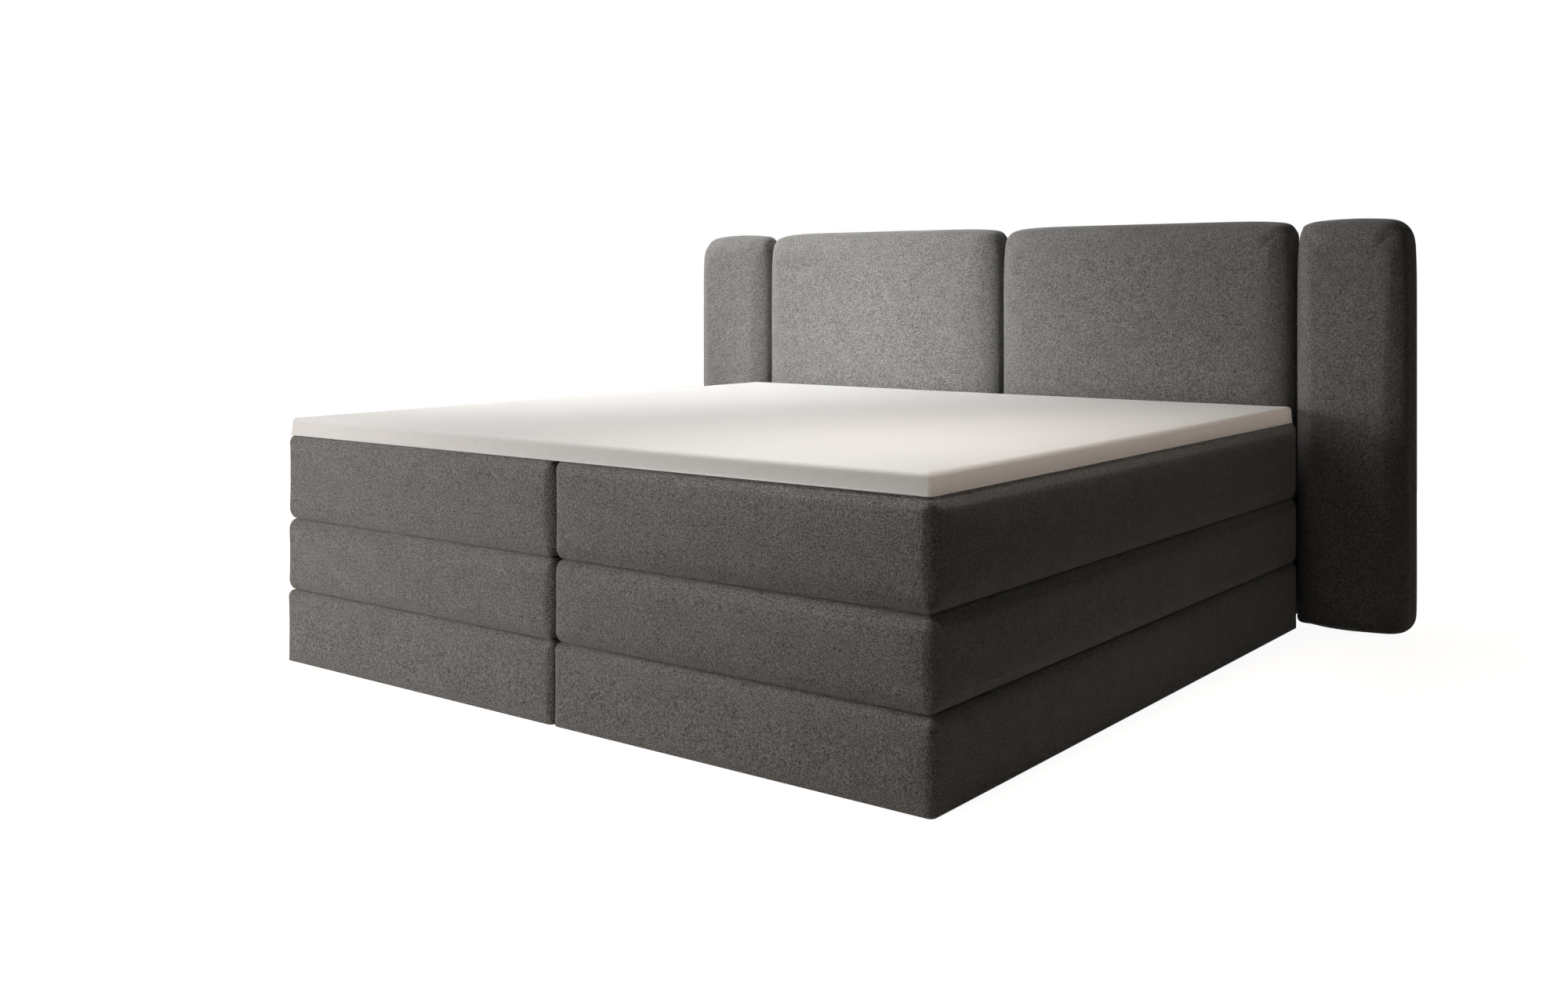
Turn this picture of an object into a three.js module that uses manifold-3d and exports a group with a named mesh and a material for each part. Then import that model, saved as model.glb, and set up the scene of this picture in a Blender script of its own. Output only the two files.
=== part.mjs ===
// A box spring bed with storage, in two halves, in millimetres.
// Seen from the foot, +X points to the right, +Y to the headboard and +Z up.
// The origin is on the floor, in the middle of the whole bed.

import * as THREE from "three";
import { mergeVertices } from "three/addons/utils/BufferGeometryUtils.js";
import Module from "manifold-3d";

const wasm = await Module();
wasm.setup();

// Driving sizes of the bed
const bedLength = 2000;
const halfWidth = 1000;
const halvesGap = 2;
const fitGap = 0.5;
const cutOverrun = 5;
const floorGap = 3;
const storageTop = 187;
const liftSeatGap = 1;
const springBaseHeight = 186.5;
const mattressHeight = 219;
const topperHeight = 46.5;

// Upholstery of the boxes
const padding = 26;
const storageEdge = { topDepth: 14, topRise: 16, footDepth: 4, footRise: 4 };
const baseEdge = { topDepth: 20, topRise: 32, footDepth: 20, footRise: 30 };
const mattressEdge = { topDepth: 20, topRise: 32, footDepth: 20, footRise: 32 };
const topperEdge = { topDepth: 10, topRise: 11, footDepth: 8, footRise: 9 };
const storageCorner = 14;
const baseCorner = 22;
const mattressCorner = 26;
const topperCorner = 13;
const leastCorner = 4;
const boxDrawIn = 1.5;
const topperDrawIn = 3;
const topperCrown = 5;
const baseTopPadding = 12;
const rimLip = 4;

// Storage box
const boardThickness = 18;
const floorThickness = 10;
const floorHeight = 8;

// Spring base
const slatCount = 9;
const slatWidth = 90;
const slatThickness = 16;
const slatUnderside = 49;

// Mattress and topper
const mattressCover = 12;
const mattressFoam = 32;
const pocketInset = 14;
const pocketPitch = 120;
const pocketBulge = 12;
const zipLength = 240;
const zipHeight = 3;
const topperCover = 6;
const topperSideInset = 6.5;
const topperFootInset = 4.6;
const topperHeadInset = 13;

// Lift fitting: pivots, measured from the head end of the boxes and from the floor
const mainPivot = { fromHead: 471, height: 45 };
const mainEye = { fromHead: 250, height: 215 };
const followerPivot = { fromHead: 397, height: 36 };
const followerEye = { fromHead: 200, height: 215 };
const strutFoot = { fromHead: 279, height: 35 };
const strutHead = { fromHead: 169, height: 215 };
const plateThickness = 3;
const armThickness = 6;
const armWidth = 18;
const layerGap = 1;
const pinRadius = 5;
const pinHeadRadius = 9;
const pinHeadThickness = 2.5;
const pinClearance = 1;
const followerFloat = 4;
const strutFloat = 4.5;
const eyeWall = 7;
const plateMargin = 14;
const bracketMargin = 16;
const floatHeadRadius = 14;
const rodEndWall = 3.5;
const cylinderRadius = 9;
const cylinderBore = 6.5;
const cylinderLength = 175;
const cylinderEndWall = 8;
const rodRadius = 4;
const rodHold = 60;
const strutEyeThickness = 8;
const crossTubeRadius = 10;
const crossTubeShare = 0.5;

// Headboard
const headboardHeight = 1180;
const innerPanelWidth = 972;
const outerPanelWidth = 330;
const panelGap = 2;
const panelDepth = 97;
const headboardStandoff = 14;
const panelEdge = { topDepth: 52, topRise: 55, footDepth: 3, footRise: 5 };
const panelCrown = 6;
const panelCorner = 50;
const outerCorner = 80;
const panelCover = 6;
const panelBoard = 16;
const panelDrawIn = 2;
const railThickness = 18;
const railHeight = 90;
const lowerRailHeight = 100;
const upperRailHeight = 860;
const railOverlap = 200;

// Fasteners
const boltRadius = 5;
const boltHole = 6;
const boltHeadRadius = 9;
const boltHeadLength = 6;
const joiningBoltHeight = 95;
const joiningBoltFromEnd = 350;
const headboardBoltFromCentre = 486;
const sleeveRadius = 10;

// Roundness
const roundSteps = 8;
const boxSteps = { corner: 3, edge: 3 };
const panelSteps = { corner: 6, edge: 5 };
const plainSteps = { corner: 3, edge: 1 };
const sideShares = [1 / 3, 2 / 3];
const crestShare = 0.5;
const crownShares = [0.3, 0.65];
const weldDistance = 1e-4;

// Places worked out from the sizes above
const headboardDepth = headboardStandoff + panelDepth + fitGap + railThickness + fitGap + boltHeadLength;
const headEnd = (bedLength - headboardDepth) / 2;
const footEnd = headEnd - bedLength;
const middle = (headEnd + footEnd) / 2;
const boxWidth = halfWidth - halvesGap / 2;
const storageHeight = storageTop - floorGap;
const baseFoot = storageTop + liftSeatGap;
const baseTop = baseFoot + springBaseHeight;
const mattressFoot = baseTop + fitGap;
const mattressTop = mattressFoot + mattressHeight;
const topperFoot = mattressTop + fitGap;
const boardOut = padding + fitGap;
const boardIn = boardOut + boardThickness;
const boardTop = storageTop - rimLip - fitGap;
const panelFoot = floorGap;
const panelBack = headEnd + headboardStandoff + panelDepth;

// Colours from the photograph's daylight
const greyFelt = finish(0x8b8986, 0.95);
const whiteKnit = finish(0xe6e3de, 0.9);
const particleBoard = finish(0xb59a72, 0.75);
const pine = finish(0xcdb083, 0.7);
const foam = finish(0xe8dfc4, 0.95);
const springWhite = finish(0xdcdcd8, 0.85);
const blackSteel = finish(0x2b2c2e, 0.45, 0.8);
const zincSteel = finish(0xb6b9bd, 0.35, 0.9);
const chromeSteel = finish(0xd0d3d6, 0.15, 1);

const bed = new THREE.Group();

function finish(colour, roughness, metalness = 0) {
  return { color: colour, roughness, metalness };
}

function add(name, geometry, look) {
  const mesh = new THREE.Mesh(geometry, new THREE.MeshStandardMaterial(look));
  mesh.name = name;
  bed.add(mesh);
}

// Solid operations
function solidOf(geometry) {
  const bare = geometry.clone();
  bare.deleteAttribute("normal");
  bare.deleteAttribute("uv");
  const merged = mergeVertices(bare, weldDistance);
  const vertProperties = new Float32Array(merged.attributes.position.array);
  const triVerts = new Uint32Array(merged.index.array);
  return new wasm.Manifold(new wasm.Mesh({ numProp: 3, vertProperties, triVerts }));
}

function geometryOf(solid) {
  const mesh = solid.getMesh();
  const geometry = new THREE.BufferGeometry();
  geometry.setAttribute("position", new THREE.BufferAttribute(mesh.vertProperties, 3));
  geometry.setIndex(new THREE.BufferAttribute(mesh.triVerts, 1));
  geometry.computeVertexNormals();
  return geometry;
}

function cut(geometry, cutters) {
  let solid = solidOf(geometry);
  for (const cutter of cutters) {
    solid = solid.subtract(solidOf(cutter));
  }
  return geometryOf(solid);
}

function join(pieces) {
  let solid = solidOf(pieces[0]);
  for (const piece of pieces.slice(1)) {
    solid = solid.add(solidOf(piece));
  }
  return geometryOf(solid);
}

function overlapOf(first, second) {
  return geometryOf(solidOf(first).intersect(solidOf(second)));
}

// Plain shapes between two corners
function block(low, high) {
  const size = high.map((value, axis) => value - low[axis]);
  const geometry = new THREE.BoxGeometry(...size);
  return geometry.translate(...low.map((value, axis) => value + size[axis] / 2));
}

function rod(radius, from, to) {
  const start = new THREE.Vector3(...from);
  const run = new THREE.Vector3(...to).sub(start);
  const geometry = new THREE.CylinderGeometry(radius, radius, run.length(), roundSteps);
  geometry.translate(0, run.length() / 2, 0);
  const up = new THREE.Vector3(0, 1, 0);
  geometry.applyQuaternion(new THREE.Quaternion().setFromUnitVectors(up, run.clone().normalize()));
  return geometry.translate(...from);
}

// A flat plate in the Y-Z plane, outline points given as [y, z], thick along X
function plate(shape, fromX, toX) {
  const thickness = Math.abs(toX - fromX);
  const geometry = new THREE.ExtrudeGeometry(shape, {
    depth: thickness,
    bevelEnabled: false,
    curveSegments: roundSteps / 2,
  });
  const alongY = new THREE.Vector3(0, 1, 0);
  const alongZ = new THREE.Vector3(0, 0, 1);
  const alongX = new THREE.Vector3(1, 0, 0);
  geometry.applyMatrix4(new THREE.Matrix4().makeBasis(alongY, alongZ, alongX));
  return geometry.translate(Math.min(fromX, toX), 0, 0);
}

// Padded bodies: rounded outlines stacked in rings
function roundedOutline(width, length, corners, steps, drawIn, withSides) {
  const points = [];
  const centres = [
    [1, -1, -Math.PI / 2],
    [1, 1, 0],
    [-1, 1, Math.PI / 2],
    [-1, -1, Math.PI],
  ];
  centres.forEach(([sideX, sideY, start], index) => {
    const radius = corners[index];
    for (let step = 0; step <= steps; step += 1) {
      const angle = start + (step / steps) * (Math.PI / 2);
      const x = sideX * (width / 2 - radius) + radius * Math.cos(angle);
      const y = sideY * (length / 2 - radius) + radius * Math.sin(angle);
      points.push([x, y]);
    }
    if (withSides) {
      const from = points[points.length - 1];
      const [nextX, nextY, nextStart] = centres[(index + 1) % centres.length];
      const nextRadius = corners[(index + 1) % centres.length];
      const to = [
        nextX * (width / 2 - nextRadius) + nextRadius * Math.cos(nextStart),
        nextY * (length / 2 - nextRadius) + nextRadius * Math.sin(nextStart),
      ];
      const inward = [-Math.cos(nextStart), -Math.sin(nextStart)];
      for (const share of sideShares) {
        const pull = drawIn * 4 * share * (1 - share);
        points.push([
          from[0] + (to[0] - from[0]) * share + inward[0] * pull,
          from[1] + (to[1] - from[1]) * share + inward[1] * pull,
        ]);
      }
    }
  });
  return points;
}

function edgeLevels(edge, height, steps) {
  const levels = [];
  for (let step = 0; step <= steps; step += 1) {
    const angle = (step / steps) * (Math.PI / 2);
    levels.push([edge.footDepth * (1 - Math.sin(angle)), edge.footRise * (1 - Math.cos(angle))]);
  }
  for (let step = 0; step <= steps; step += 1) {
    const angle = (step / steps) * (Math.PI / 2);
    levels.push([edge.topDepth * (1 - Math.cos(angle)), height - edge.topRise * (1 - Math.sin(angle))]);
  }
  return levels;
}

function loft(rings, footCentre, topCentre) {
  const count = rings[0].length;
  const points = rings.flat();
  points.push(footCentre, topCentre);
  const foot = points.length - 2;
  const top = points.length - 1;
  const last = (rings.length - 1) * count;
  const index = [];
  for (let i = 0; i < count; i += 1) {
    const next = (i + 1) % count;
    index.push(foot, next, i);
    index.push(top, last + i, last + next);
    for (let ring = 0; ring < rings.length - 1; ring += 1) {
      const low = ring * count;
      const high = low + count;
      index.push(low + i, low + next, high + next);
      index.push(low + i, high + next, high + i);
    }
  }
  const geometry = new THREE.BufferGeometry();
  geometry.setAttribute("position", new THREE.Float32BufferAttribute(points.flat(), 3));
  geometry.setIndex(index);
  return geometry;
}

// A padded body stands on z = 0 with its middle on the Z axis; a plain one has straight sides
function paddedBody({ width, length, height, corners, edge, steps, crown = 0, drawIn = 0, plain = false }) {
  const levels = edgeLevels(edge, height, steps.edge);
  const rings = levels.map(([inset, z]) => {
    const radii = corners.map((radius) => Math.max(radius - inset, leastCorner));
    const size = [width - 2 * inset, length - 2 * inset];
    const outline = roundedOutline(...size, radii, steps.corner, drawIn, !plain);
    return outline.map(([x, y]) => [x, y, z]);
  });
  if (crown > 0) {
    const rim = rings[rings.length - 1];
    for (const share of crownShares) {
      const z = height + crown * (1 - (1 - share) ** 2);
      rings.push(rim.map(([x, y]) => [x * (1 - share), y * (1 - share), z]));
    }
  }
  return loft(rings, [0, 0, 0], [0, 0, height + crown]);
}

// The same body, smaller by an even wall
function smallerBody(body, wall) {
  const shrink = (size) => Math.max(size - wall, leastCorner / 2);
  const { edge } = body;
  return {
    ...body,
    width: body.width - 2 * wall,
    length: body.length - 2 * wall,
    height: body.height - 2 * wall,
    corners: body.corners.map(shrink),
    edge: {
      topDepth: shrink(edge.topDepth),
      topRise: shrink(edge.topRise),
      footDepth: shrink(edge.footDepth),
      footRise: shrink(edge.footRise),
    },
    steps: plainSteps,
    crown: 0,
    drawIn: 0,
    plain: true,
  };
}

function fourCorners(radius) {
  return [radius, radius, radius, radius];
}

// Both halves of the bed
const halves = [
  { name: "left", side: -1 },
  { name: "right", side: 1 },
];

// X at a distance in from the outer face of a half
function fromOuter(side, distance) {
  return side * (halfWidth - distance);
}

// X at a distance in from the face beside the middle of the bed
function fromInner(side, distance) {
  return side * (halvesGap / 2 + distance);
}

function span(first, second) {
  return [Math.min(first, second), Math.max(first, second)];
}

function halfMiddle(side) {
  return (fromOuter(side, 0) + fromInner(side, 0)) / 2;
}

function joiningPlaces() {
  return [
    { name: "foot_joining_bolt", y: footEnd + joiningBoltFromEnd },
    { name: "head_joining_bolt", y: headEnd - mainPivot.fromHead - joiningBoltFromEnd },
  ];
}

function joiningCutters() {
  const reach = boardIn + cutOverrun;
  return joiningPlaces().map(({ y }) => (
    rod(boltHole, [-reach, y, joiningBoltHeight], [reach, y, joiningBoltHeight])
  ));
}

function headboardRod(side, radius, fromY, toY) {
  const x = side * headboardBoltFromCentre;
  return rod(radius, [x, fromY, lowerRailHeight], [x, toY, lowerRailHeight]);
}

function addStorage({ name, side }) {
  const [outerLow, outerHigh] = span(fromOuter(side, boardOut), fromOuter(side, boardIn));
  const [innerLow, innerHigh] = span(fromInner(side, boardOut), fromInner(side, boardIn));
  const [insideLow, insideHigh] = span(fromOuter(side, boardIn + fitGap), fromInner(side, boardIn + fitGap));
  const boardFoot = 0;
  const headY = headEnd - boardOut;
  const footY = footEnd + boardOut;
  const joining = joiningCutters();
  const toHeadboard = headboardRod(side, boltHole, headY - boardThickness - cutOverrun, headEnd + cutOverrun);

  const outerBoard = block([outerLow, footY, boardFoot], [outerHigh, headY, boardTop]);
  add(`${name}_storage_outer_board`, outerBoard, particleBoard);
  const inner = block([innerLow, footY, boardFoot], [innerHigh, headY, boardTop]);
  add(`${name}_storage_inner_board`, cut(inner, joining), particleBoard);
  const foot = block([insideLow, footY, boardFoot], [insideHigh, footY + boardThickness, boardTop]);
  add(`${name}_storage_foot_board`, foot, particleBoard);
  const head = block([insideLow, headY - boardThickness, boardFoot], [insideHigh, headY, boardTop]);
  add(`${name}_storage_head_board`, cut(head, [toHeadboard]), particleBoard);

  const floorY = [footY + boardThickness + fitGap, headY - boardThickness - fitGap];
  const floorLow = [insideLow, floorY[0], floorHeight];
  const floorHigh = [insideHigh, floorY[1], floorHeight + floorThickness];
  add(`${name}_storage_floor`, block(floorLow, floorHigh), particleBoard);

  const outer = paddedBody({
    width: boxWidth,
    length: bedLength,
    height: storageHeight,
    corners: fourCorners(storageCorner),
    edge: storageEdge,
    steps: boxSteps,
    drawIn: boxDrawIn,
  }).translate(halfMiddle(side), middle, floorGap);
  const [boardsLow, boardsHigh] = span(fromOuter(side, padding), fromInner(side, padding));
  const boardSpace = block(
    [boardsLow, footEnd + padding, floorGap - cutOverrun],
    [boardsHigh, headEnd - padding, boardTop + fitGap],
  );
  const [mouthLow, mouthHigh] = span(fromOuter(side, boardIn), fromInner(side, boardIn));
  const mouth = block(
    [mouthLow, footEnd + boardIn, floorGap - cutOverrun],
    [mouthHigh, headEnd - boardIn, storageTop + cutOverrun],
  );
  add(`${name}_storage_cover`, cut(outer, [boardSpace, mouth, ...joining, toHeadboard]), greyFelt);
}

function addSpringBase({ name, side }) {
  const outer = paddedBody({
    width: boxWidth,
    length: bedLength,
    height: springBaseHeight,
    corners: fourCorners(baseCorner),
    edge: baseEdge,
    steps: boxSteps,
    drawIn: boxDrawIn,
  }).translate(halfMiddle(side), middle, baseFoot);
  const [spaceLow, spaceHigh] = span(fromOuter(side, padding), fromInner(side, padding));
  const ceiling = baseTop - baseTopPadding;
  const space = block(
    [spaceLow, footEnd + padding, baseFoot - cutOverrun],
    [spaceHigh, headEnd - padding, ceiling],
  );
  add(`${name}_base_cover`, cut(outer, [space]), greyFelt);

  const railTop = ceiling - fitGap;
  const [outerLow, outerHigh] = span(fromOuter(side, boardOut), fromOuter(side, boardIn));
  const [innerLow, innerHigh] = span(fromInner(side, boardOut), fromInner(side, boardIn));
  const [frameLow, frameHigh] = span(fromOuter(side, boardOut), fromInner(side, boardOut));
  const headY = headEnd - boardOut;
  const footY = footEnd + boardOut;
  const pieces = [
    block([outerLow, footY, baseFoot], [outerHigh, headY, railTop]),
    block([innerLow, footY, baseFoot], [innerHigh, headY, railTop]),
    block([frameLow, footY, baseFoot], [frameHigh, footY + boardThickness, railTop]),
    block([frameLow, headY - boardThickness, baseFoot], [frameHigh, headY, railTop]),
  ];
  const slatFoot = baseFoot + slatUnderside;
  const firstSlat = footY + boardThickness;
  const lastSlat = headY - boardThickness - slatWidth;
  const housing = boardThickness / 2;
  for (let i = 0; i < slatCount; i += 1) {
    const y = firstSlat + ((lastSlat - firstSlat) * i) / (slatCount - 1);
    pieces.push(block(
      [frameLow + housing, y, slatFoot],
      [frameHigh - housing, y + slatWidth, slatFoot + slatThickness],
    ));
  }
  add(`${name}_base_frame`, join(pieces), pine);

  const [insideLow, insideHigh] = span(fromOuter(side, boardIn + fitGap), fromInner(side, boardIn + fitGap));
  const springFoot = slatFoot + slatThickness + fitGap;
  const springLow = [insideLow, firstSlat + fitGap, springFoot];
  const springHigh = [insideHigh, lastSlat + slatWidth - fitGap, railTop];
  add(`${name}_base_springs`, block(springLow, springHigh), springWhite);
}

// Outline of a pocket spring core: a row of rounded pockets along each side
function pocketShape(width, length) {
  const shape = new THREE.Shape();
  const acrossCount = Math.round(width / pocketPitch);
  const alongCount = Math.round(length / pocketPitch);
  const steps = [];
  const run = (count, from, to, outward) => {
    for (let i = 0; i < count; i += 1) {
      const start = i / count;
      const crest = (i + crestShare) / count;
      steps.push([from[0] + (to[0] - from[0]) * start, from[1] + (to[1] - from[1]) * start]);
      steps.push([
        from[0] + (to[0] - from[0]) * crest + outward[0] * pocketBulge,
        from[1] + (to[1] - from[1]) * crest + outward[1] * pocketBulge,
      ]);
    }
  };
  const halfX = width / 2 - pocketBulge;
  const halfY = length / 2 - pocketBulge;
  run(acrossCount, [-halfX, -halfY], [halfX, -halfY], [0, -1]);
  run(alongCount, [halfX, -halfY], [halfX, halfY], [1, 0]);
  run(acrossCount, [halfX, halfY], [-halfX, halfY], [0, 1]);
  run(alongCount, [-halfX, halfY], [-halfX, -halfY], [-1, 0]);
  shape.setFromPoints(steps.map(([x, y]) => new THREE.Vector2(x, y)));
  return shape;
}

function addMattress({ name, side }) {
  const body = {
    width: boxWidth,
    length: bedLength,
    height: mattressHeight,
    corners: fourCorners(mattressCorner),
    edge: mattressEdge,
    steps: boxSteps,
    drawIn: boxDrawIn,
  };
  const place = (geometry, lift) => geometry.translate(halfMiddle(side), middle, mattressFoot + lift);
  const cavity = place(paddedBody(smallerBody(body, mattressCover)), mattressCover);
  const zipFoot = mattressFoot + mattressHeight / 2;
  const zip = block(
    [halfMiddle(side) - zipLength / 2, headEnd - mattressCover - cutOverrun, zipFoot],
    [halfMiddle(side) + zipLength / 2, headEnd + cutOverrun, zipFoot + zipHeight],
  );
  add(`${name}_mattress_cover`, cut(place(paddedBody(body), 0), [cavity, zip]), greyFelt);

  const wall = mattressCover + fitGap;
  const filling = place(paddedBody(smallerBody(body, wall)), wall);
  const [low, high] = span(fromOuter(side, 0), fromInner(side, 0));
  const lowerTop = mattressFoot + wall + mattressFoam;
  const upperFoot = mattressTop - wall - mattressFoam;
  const lower = overlapOf(filling, block([low, footEnd, mattressFoot], [high, headEnd, lowerTop]));
  const upper = overlapOf(filling, block([low, footEnd, upperFoot], [high, headEnd, mattressTop]));
  const coreSize = [boxWidth - 2 * (wall + pocketInset), bedLength - 2 * (wall + pocketInset)];
  const core = new THREE.ExtrudeGeometry(pocketShape(...coreSize), {
    depth: upperFoot - lowerTop + 2 * fitGap,
    bevelEnabled: false,
  });
  core.translate(halfMiddle(side), middle, lowerTop - fitGap);
  add(`${name}_mattress_core`, join([lower, core, upper]), springWhite);
}

function addTopper() {
  const body = {
    width: 2 * (halfWidth - topperSideInset),
    length: bedLength - topperFootInset - topperHeadInset,
    height: topperHeight,
    corners: fourCorners(topperCorner),
    edge: topperEdge,
    steps: boxSteps,
    crown: topperCrown,
    drawIn: topperDrawIn,
  };
  const topperMiddle = middle + (topperFootInset - topperHeadInset) / 2;
  const place = (geometry, lift) => geometry.translate(0, topperMiddle, topperFoot + lift);
  const cavity = place(paddedBody(smallerBody(body, topperCover)), topperCover);
  const topperHead = headEnd - topperHeadInset;
  const zipFoot = topperFoot + topperHeight / 2;
  const zip = block(
    [-zipLength / 2, topperHead - topperCover - cutOverrun, zipFoot],
    [zipLength / 2, topperHead + cutOverrun, zipFoot + zipHeight],
  );
  add("topper_cover", cut(place(paddedBody(body), 0), [cavity, zip]), whiteKnit);
  const wall = topperCover + fitGap;
  add("topper_core", place(paddedBody(smallerBody(body, wall)), wall), foam);
}

// Lift fittings: one at each side board of a half
function fittings(side) {
  return [
    { at: "outer", board: fromOuter(side, boardIn), inward: -side },
    { at: "inner", board: fromInner(side, boardIn), inward: side },
  ];
}

function pivotPoint({ fromHead, height }) {
  return [headEnd - fromHead, height];
}

// X planes of a fitting, counted from the inner face of the board
function layers({ board, inward }) {
  const x = (distance) => board + inward * distance;
  const plateIn = fitGap + plateThickness;
  const armOut = plateIn + layerGap;
  const armIn = armOut + armThickness;
  const headOut = armIn + layerGap;
  const headIn = headOut + pinHeadThickness;
  const strutMiddle = headIn + layerGap + cylinderRadius;
  return { x, plateOut: fitGap, plateIn, armOut, armIn, headOut, headIn, strutMiddle };
}

function plateOutline(places, margin) {
  const ys = places.map(([y]) => y);
  const zs = places.map(([, z]) => z);
  const low = [Math.min(...ys) - margin, Math.min(...zs) - margin];
  const high = [Math.max(...ys) + margin, Math.max(...zs) + margin];
  const corner = margin / 2;
  return new THREE.Shape([
    new THREE.Vector2(low[0] + corner, low[1]),
    new THREE.Vector2(high[0] - corner, low[1]),
    new THREE.Vector2(high[0], low[1] + corner),
    new THREE.Vector2(high[0], high[1] - corner),
    new THREE.Vector2(high[0] - corner, high[1]),
    new THREE.Vector2(low[0] + corner, high[1]),
    new THREE.Vector2(low[0], high[1] - corner),
    new THREE.Vector2(low[0], low[1] + corner),
  ]);
}

function hole(shape, [y, z], radius) {
  const path = new THREE.Path();
  path.absarc(y, z, radius, 0, 2 * Math.PI, true);
  shape.holes.push(path);
}

// A bar with a round eye at each end
function armShape(from, to, width, fromRadius, toRadius, fromHole, toHole) {
  const shape = new THREE.Shape();
  const angle = Math.atan2(to[1] - from[1], to[0] - from[0]);
  const reachFrom = Math.asin(width / 2 / fromRadius);
  const reachTo = Math.asin(width / 2 / toRadius);
  shape.absarc(from[0], from[1], fromRadius, angle + reachFrom, angle - reachFrom + 2 * Math.PI);
  shape.absarc(to[0], to[1], toRadius, angle + Math.PI + reachTo, angle + Math.PI - reachTo + 2 * Math.PI);
  shape.closePath();
  hole(shape, from, fromHole);
  hole(shape, to, toHole);
  return shape;
}

function pin(fitting, place, reach) {
  const { x, plateIn } = fitting;
  return rod(pinRadius, [x(plateIn - plateThickness / 2), ...place], [x(reach), ...place]);
}

function pinHead(fitting, place, from, radius) {
  const { x } = fitting;
  return rod(radius, [x(from), ...place], [x(from + pinHeadThickness), ...place]);
}

function headedPin(fitting, place, radius) {
  const shaft = pin(fitting, place, fitting.headOut + pinHeadThickness / 2);
  return [shaft, pinHead(fitting, place, fitting.headOut, radius)];
}

function strutPin(fitting, place) {
  return pin(fitting, place, fitting.strutMiddle + strutEyeThickness / 2 + layerGap);
}

function addFittings({ name, side }) {
  const mainB = pivotPoint(mainPivot);
  const mainA = pivotPoint(mainEye);
  const followB = pivotPoint(followerPivot);
  const followA = pivotPoint(followerEye);
  const strutC = pivotPoint(strutFoot);
  const strutD = pivotPoint(strutHead);
  const closeHole = pinRadius + pinClearance;
  const closeEye = closeHole + eyeWall;
  const followHole = closeHole + followerFloat;
  const followEye = followHole + eyeWall;
  const tubeCentre = mainB.map((value, axis) => value + (mainA[axis] - value) * crossTubeShare);
  const mainArms = [];
  const tubeEnds = [];
  for (const place of fittings(side)) {
    const fitting = layers(place);
    const { x } = fitting;
    const prefix = `${name}_${place.at}`;

    const footOutline = plateOutline([mainB, strutC, [mainB[0], boardTop / 2]], plateMargin);
    const foot = plate(footOutline, x(fitting.plateOut), x(fitting.plateIn));
    const footPins = [mainB, followB].flatMap((spot) => headedPin(fitting, spot, pinHeadRadius));
    add(`${prefix}_base_plate`, join([foot, ...footPins, strutPin(fitting, strutC)]), blackSteel);

    const bracketOutline = plateOutline([mainA, strutD], bracketMargin);
    const bracket = plate(bracketOutline, x(fitting.plateOut), x(fitting.plateIn));
    const bracketPins = [
      ...headedPin(fitting, mainA, pinHeadRadius),
      ...headedPin(fitting, followA, floatHeadRadius),
    ];
    add(`${prefix}_top_bracket`, join([bracket, ...bracketPins, strutPin(fitting, strutD)]), blackSteel);

    const mainOutline = armShape(mainB, mainA, armWidth, closeEye, closeEye, closeHole, closeHole);
    mainArms.push(plate(mainOutline, x(fitting.armOut), x(fitting.armIn)));
    tubeEnds.push(x(fitting.armOut + armThickness / 2));
    const followOutline = armShape(followB, followA, armWidth, closeEye, followEye, closeHole, followHole);
    add(`${prefix}_follower_arm`, plate(followOutline, x(fitting.armOut), x(fitting.armIn)), blackSteel);

    addStrut(prefix, fitting, strutC, strutD, closeHole);
  }
  const tube = rod(crossTubeRadius, [tubeEnds[0], ...tubeCentre], [tubeEnds[1], ...tubeCentre]);
  add(`${name}_main_arm_frame`, join([...mainArms, tube]), blackSteel);
}

function ringPlate(fitting, place, outerRadius, innerRadius) {
  const shape = new THREE.Shape();
  shape.absarc(...place, outerRadius, 0, 2 * Math.PI);
  hole(shape, place, innerRadius);
  const half = strutEyeThickness / 2;
  return plate(shape, fitting.x(fitting.strutMiddle - half), fitting.x(fitting.strutMiddle + half));
}

// The gas cylinder turns on its foot pin and the rod slides in it; the rod's eye floats on its pin
function addStrut(prefix, fitting, from, to, closeHole) {
  const x = fitting.x(fitting.strutMiddle);
  const start = new THREE.Vector3(x, ...from);
  const way = new THREE.Vector3(x, ...to).sub(start).normalize();
  const along = (distance) => start.clone().addScaledVector(way, distance).toArray();
  const reach = Math.hypot(to[0] - from[0], to[1] - from[1]);
  const footEye = closeHole + eyeWall;
  const rodHole = closeHole + strutFloat;
  const rodEye = rodHole + rodEndWall;

  const tube = cut(rod(cylinderRadius, along(footEye - cylinderEndWall / 2), along(cylinderLength)), [
    rod(cylinderBore, along(footEye + cylinderEndWall), along(cylinderLength + cutOverrun)),
  ]);
  add(`${prefix}_gas_cylinder`, join([tube, ringPlate(fitting, from, footEye, closeHole)]), blackSteel);
  const stem = rod(rodRadius, along(rodHold), along(reach - rodHole - rodEndWall / 2));
  add(`${prefix}_gas_rod`, join([stem, ringPlate(fitting, to, rodEye, rodHole)]), chromeSteel);
}

function addJoiningBolts() {
  const reach = boardIn + halvesGap / 2 + fitGap;
  const z = joiningBoltHeight;
  for (const { name, y } of joiningPlaces()) {
    const shaft = rod(boltRadius, [-reach - boltHeadLength / 2, y, z], [reach + boltHeadLength / 2, y, z]);
    const head = rod(boltHeadRadius, [-reach - boltHeadLength, y, z], [-reach, y, z]);
    const nut = rod(boltHeadRadius, [reach, y, z], [reach + boltHeadLength, y, z]);
    add(name, join([shaft, head, nut]), zincSteel);
  }
}

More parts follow.
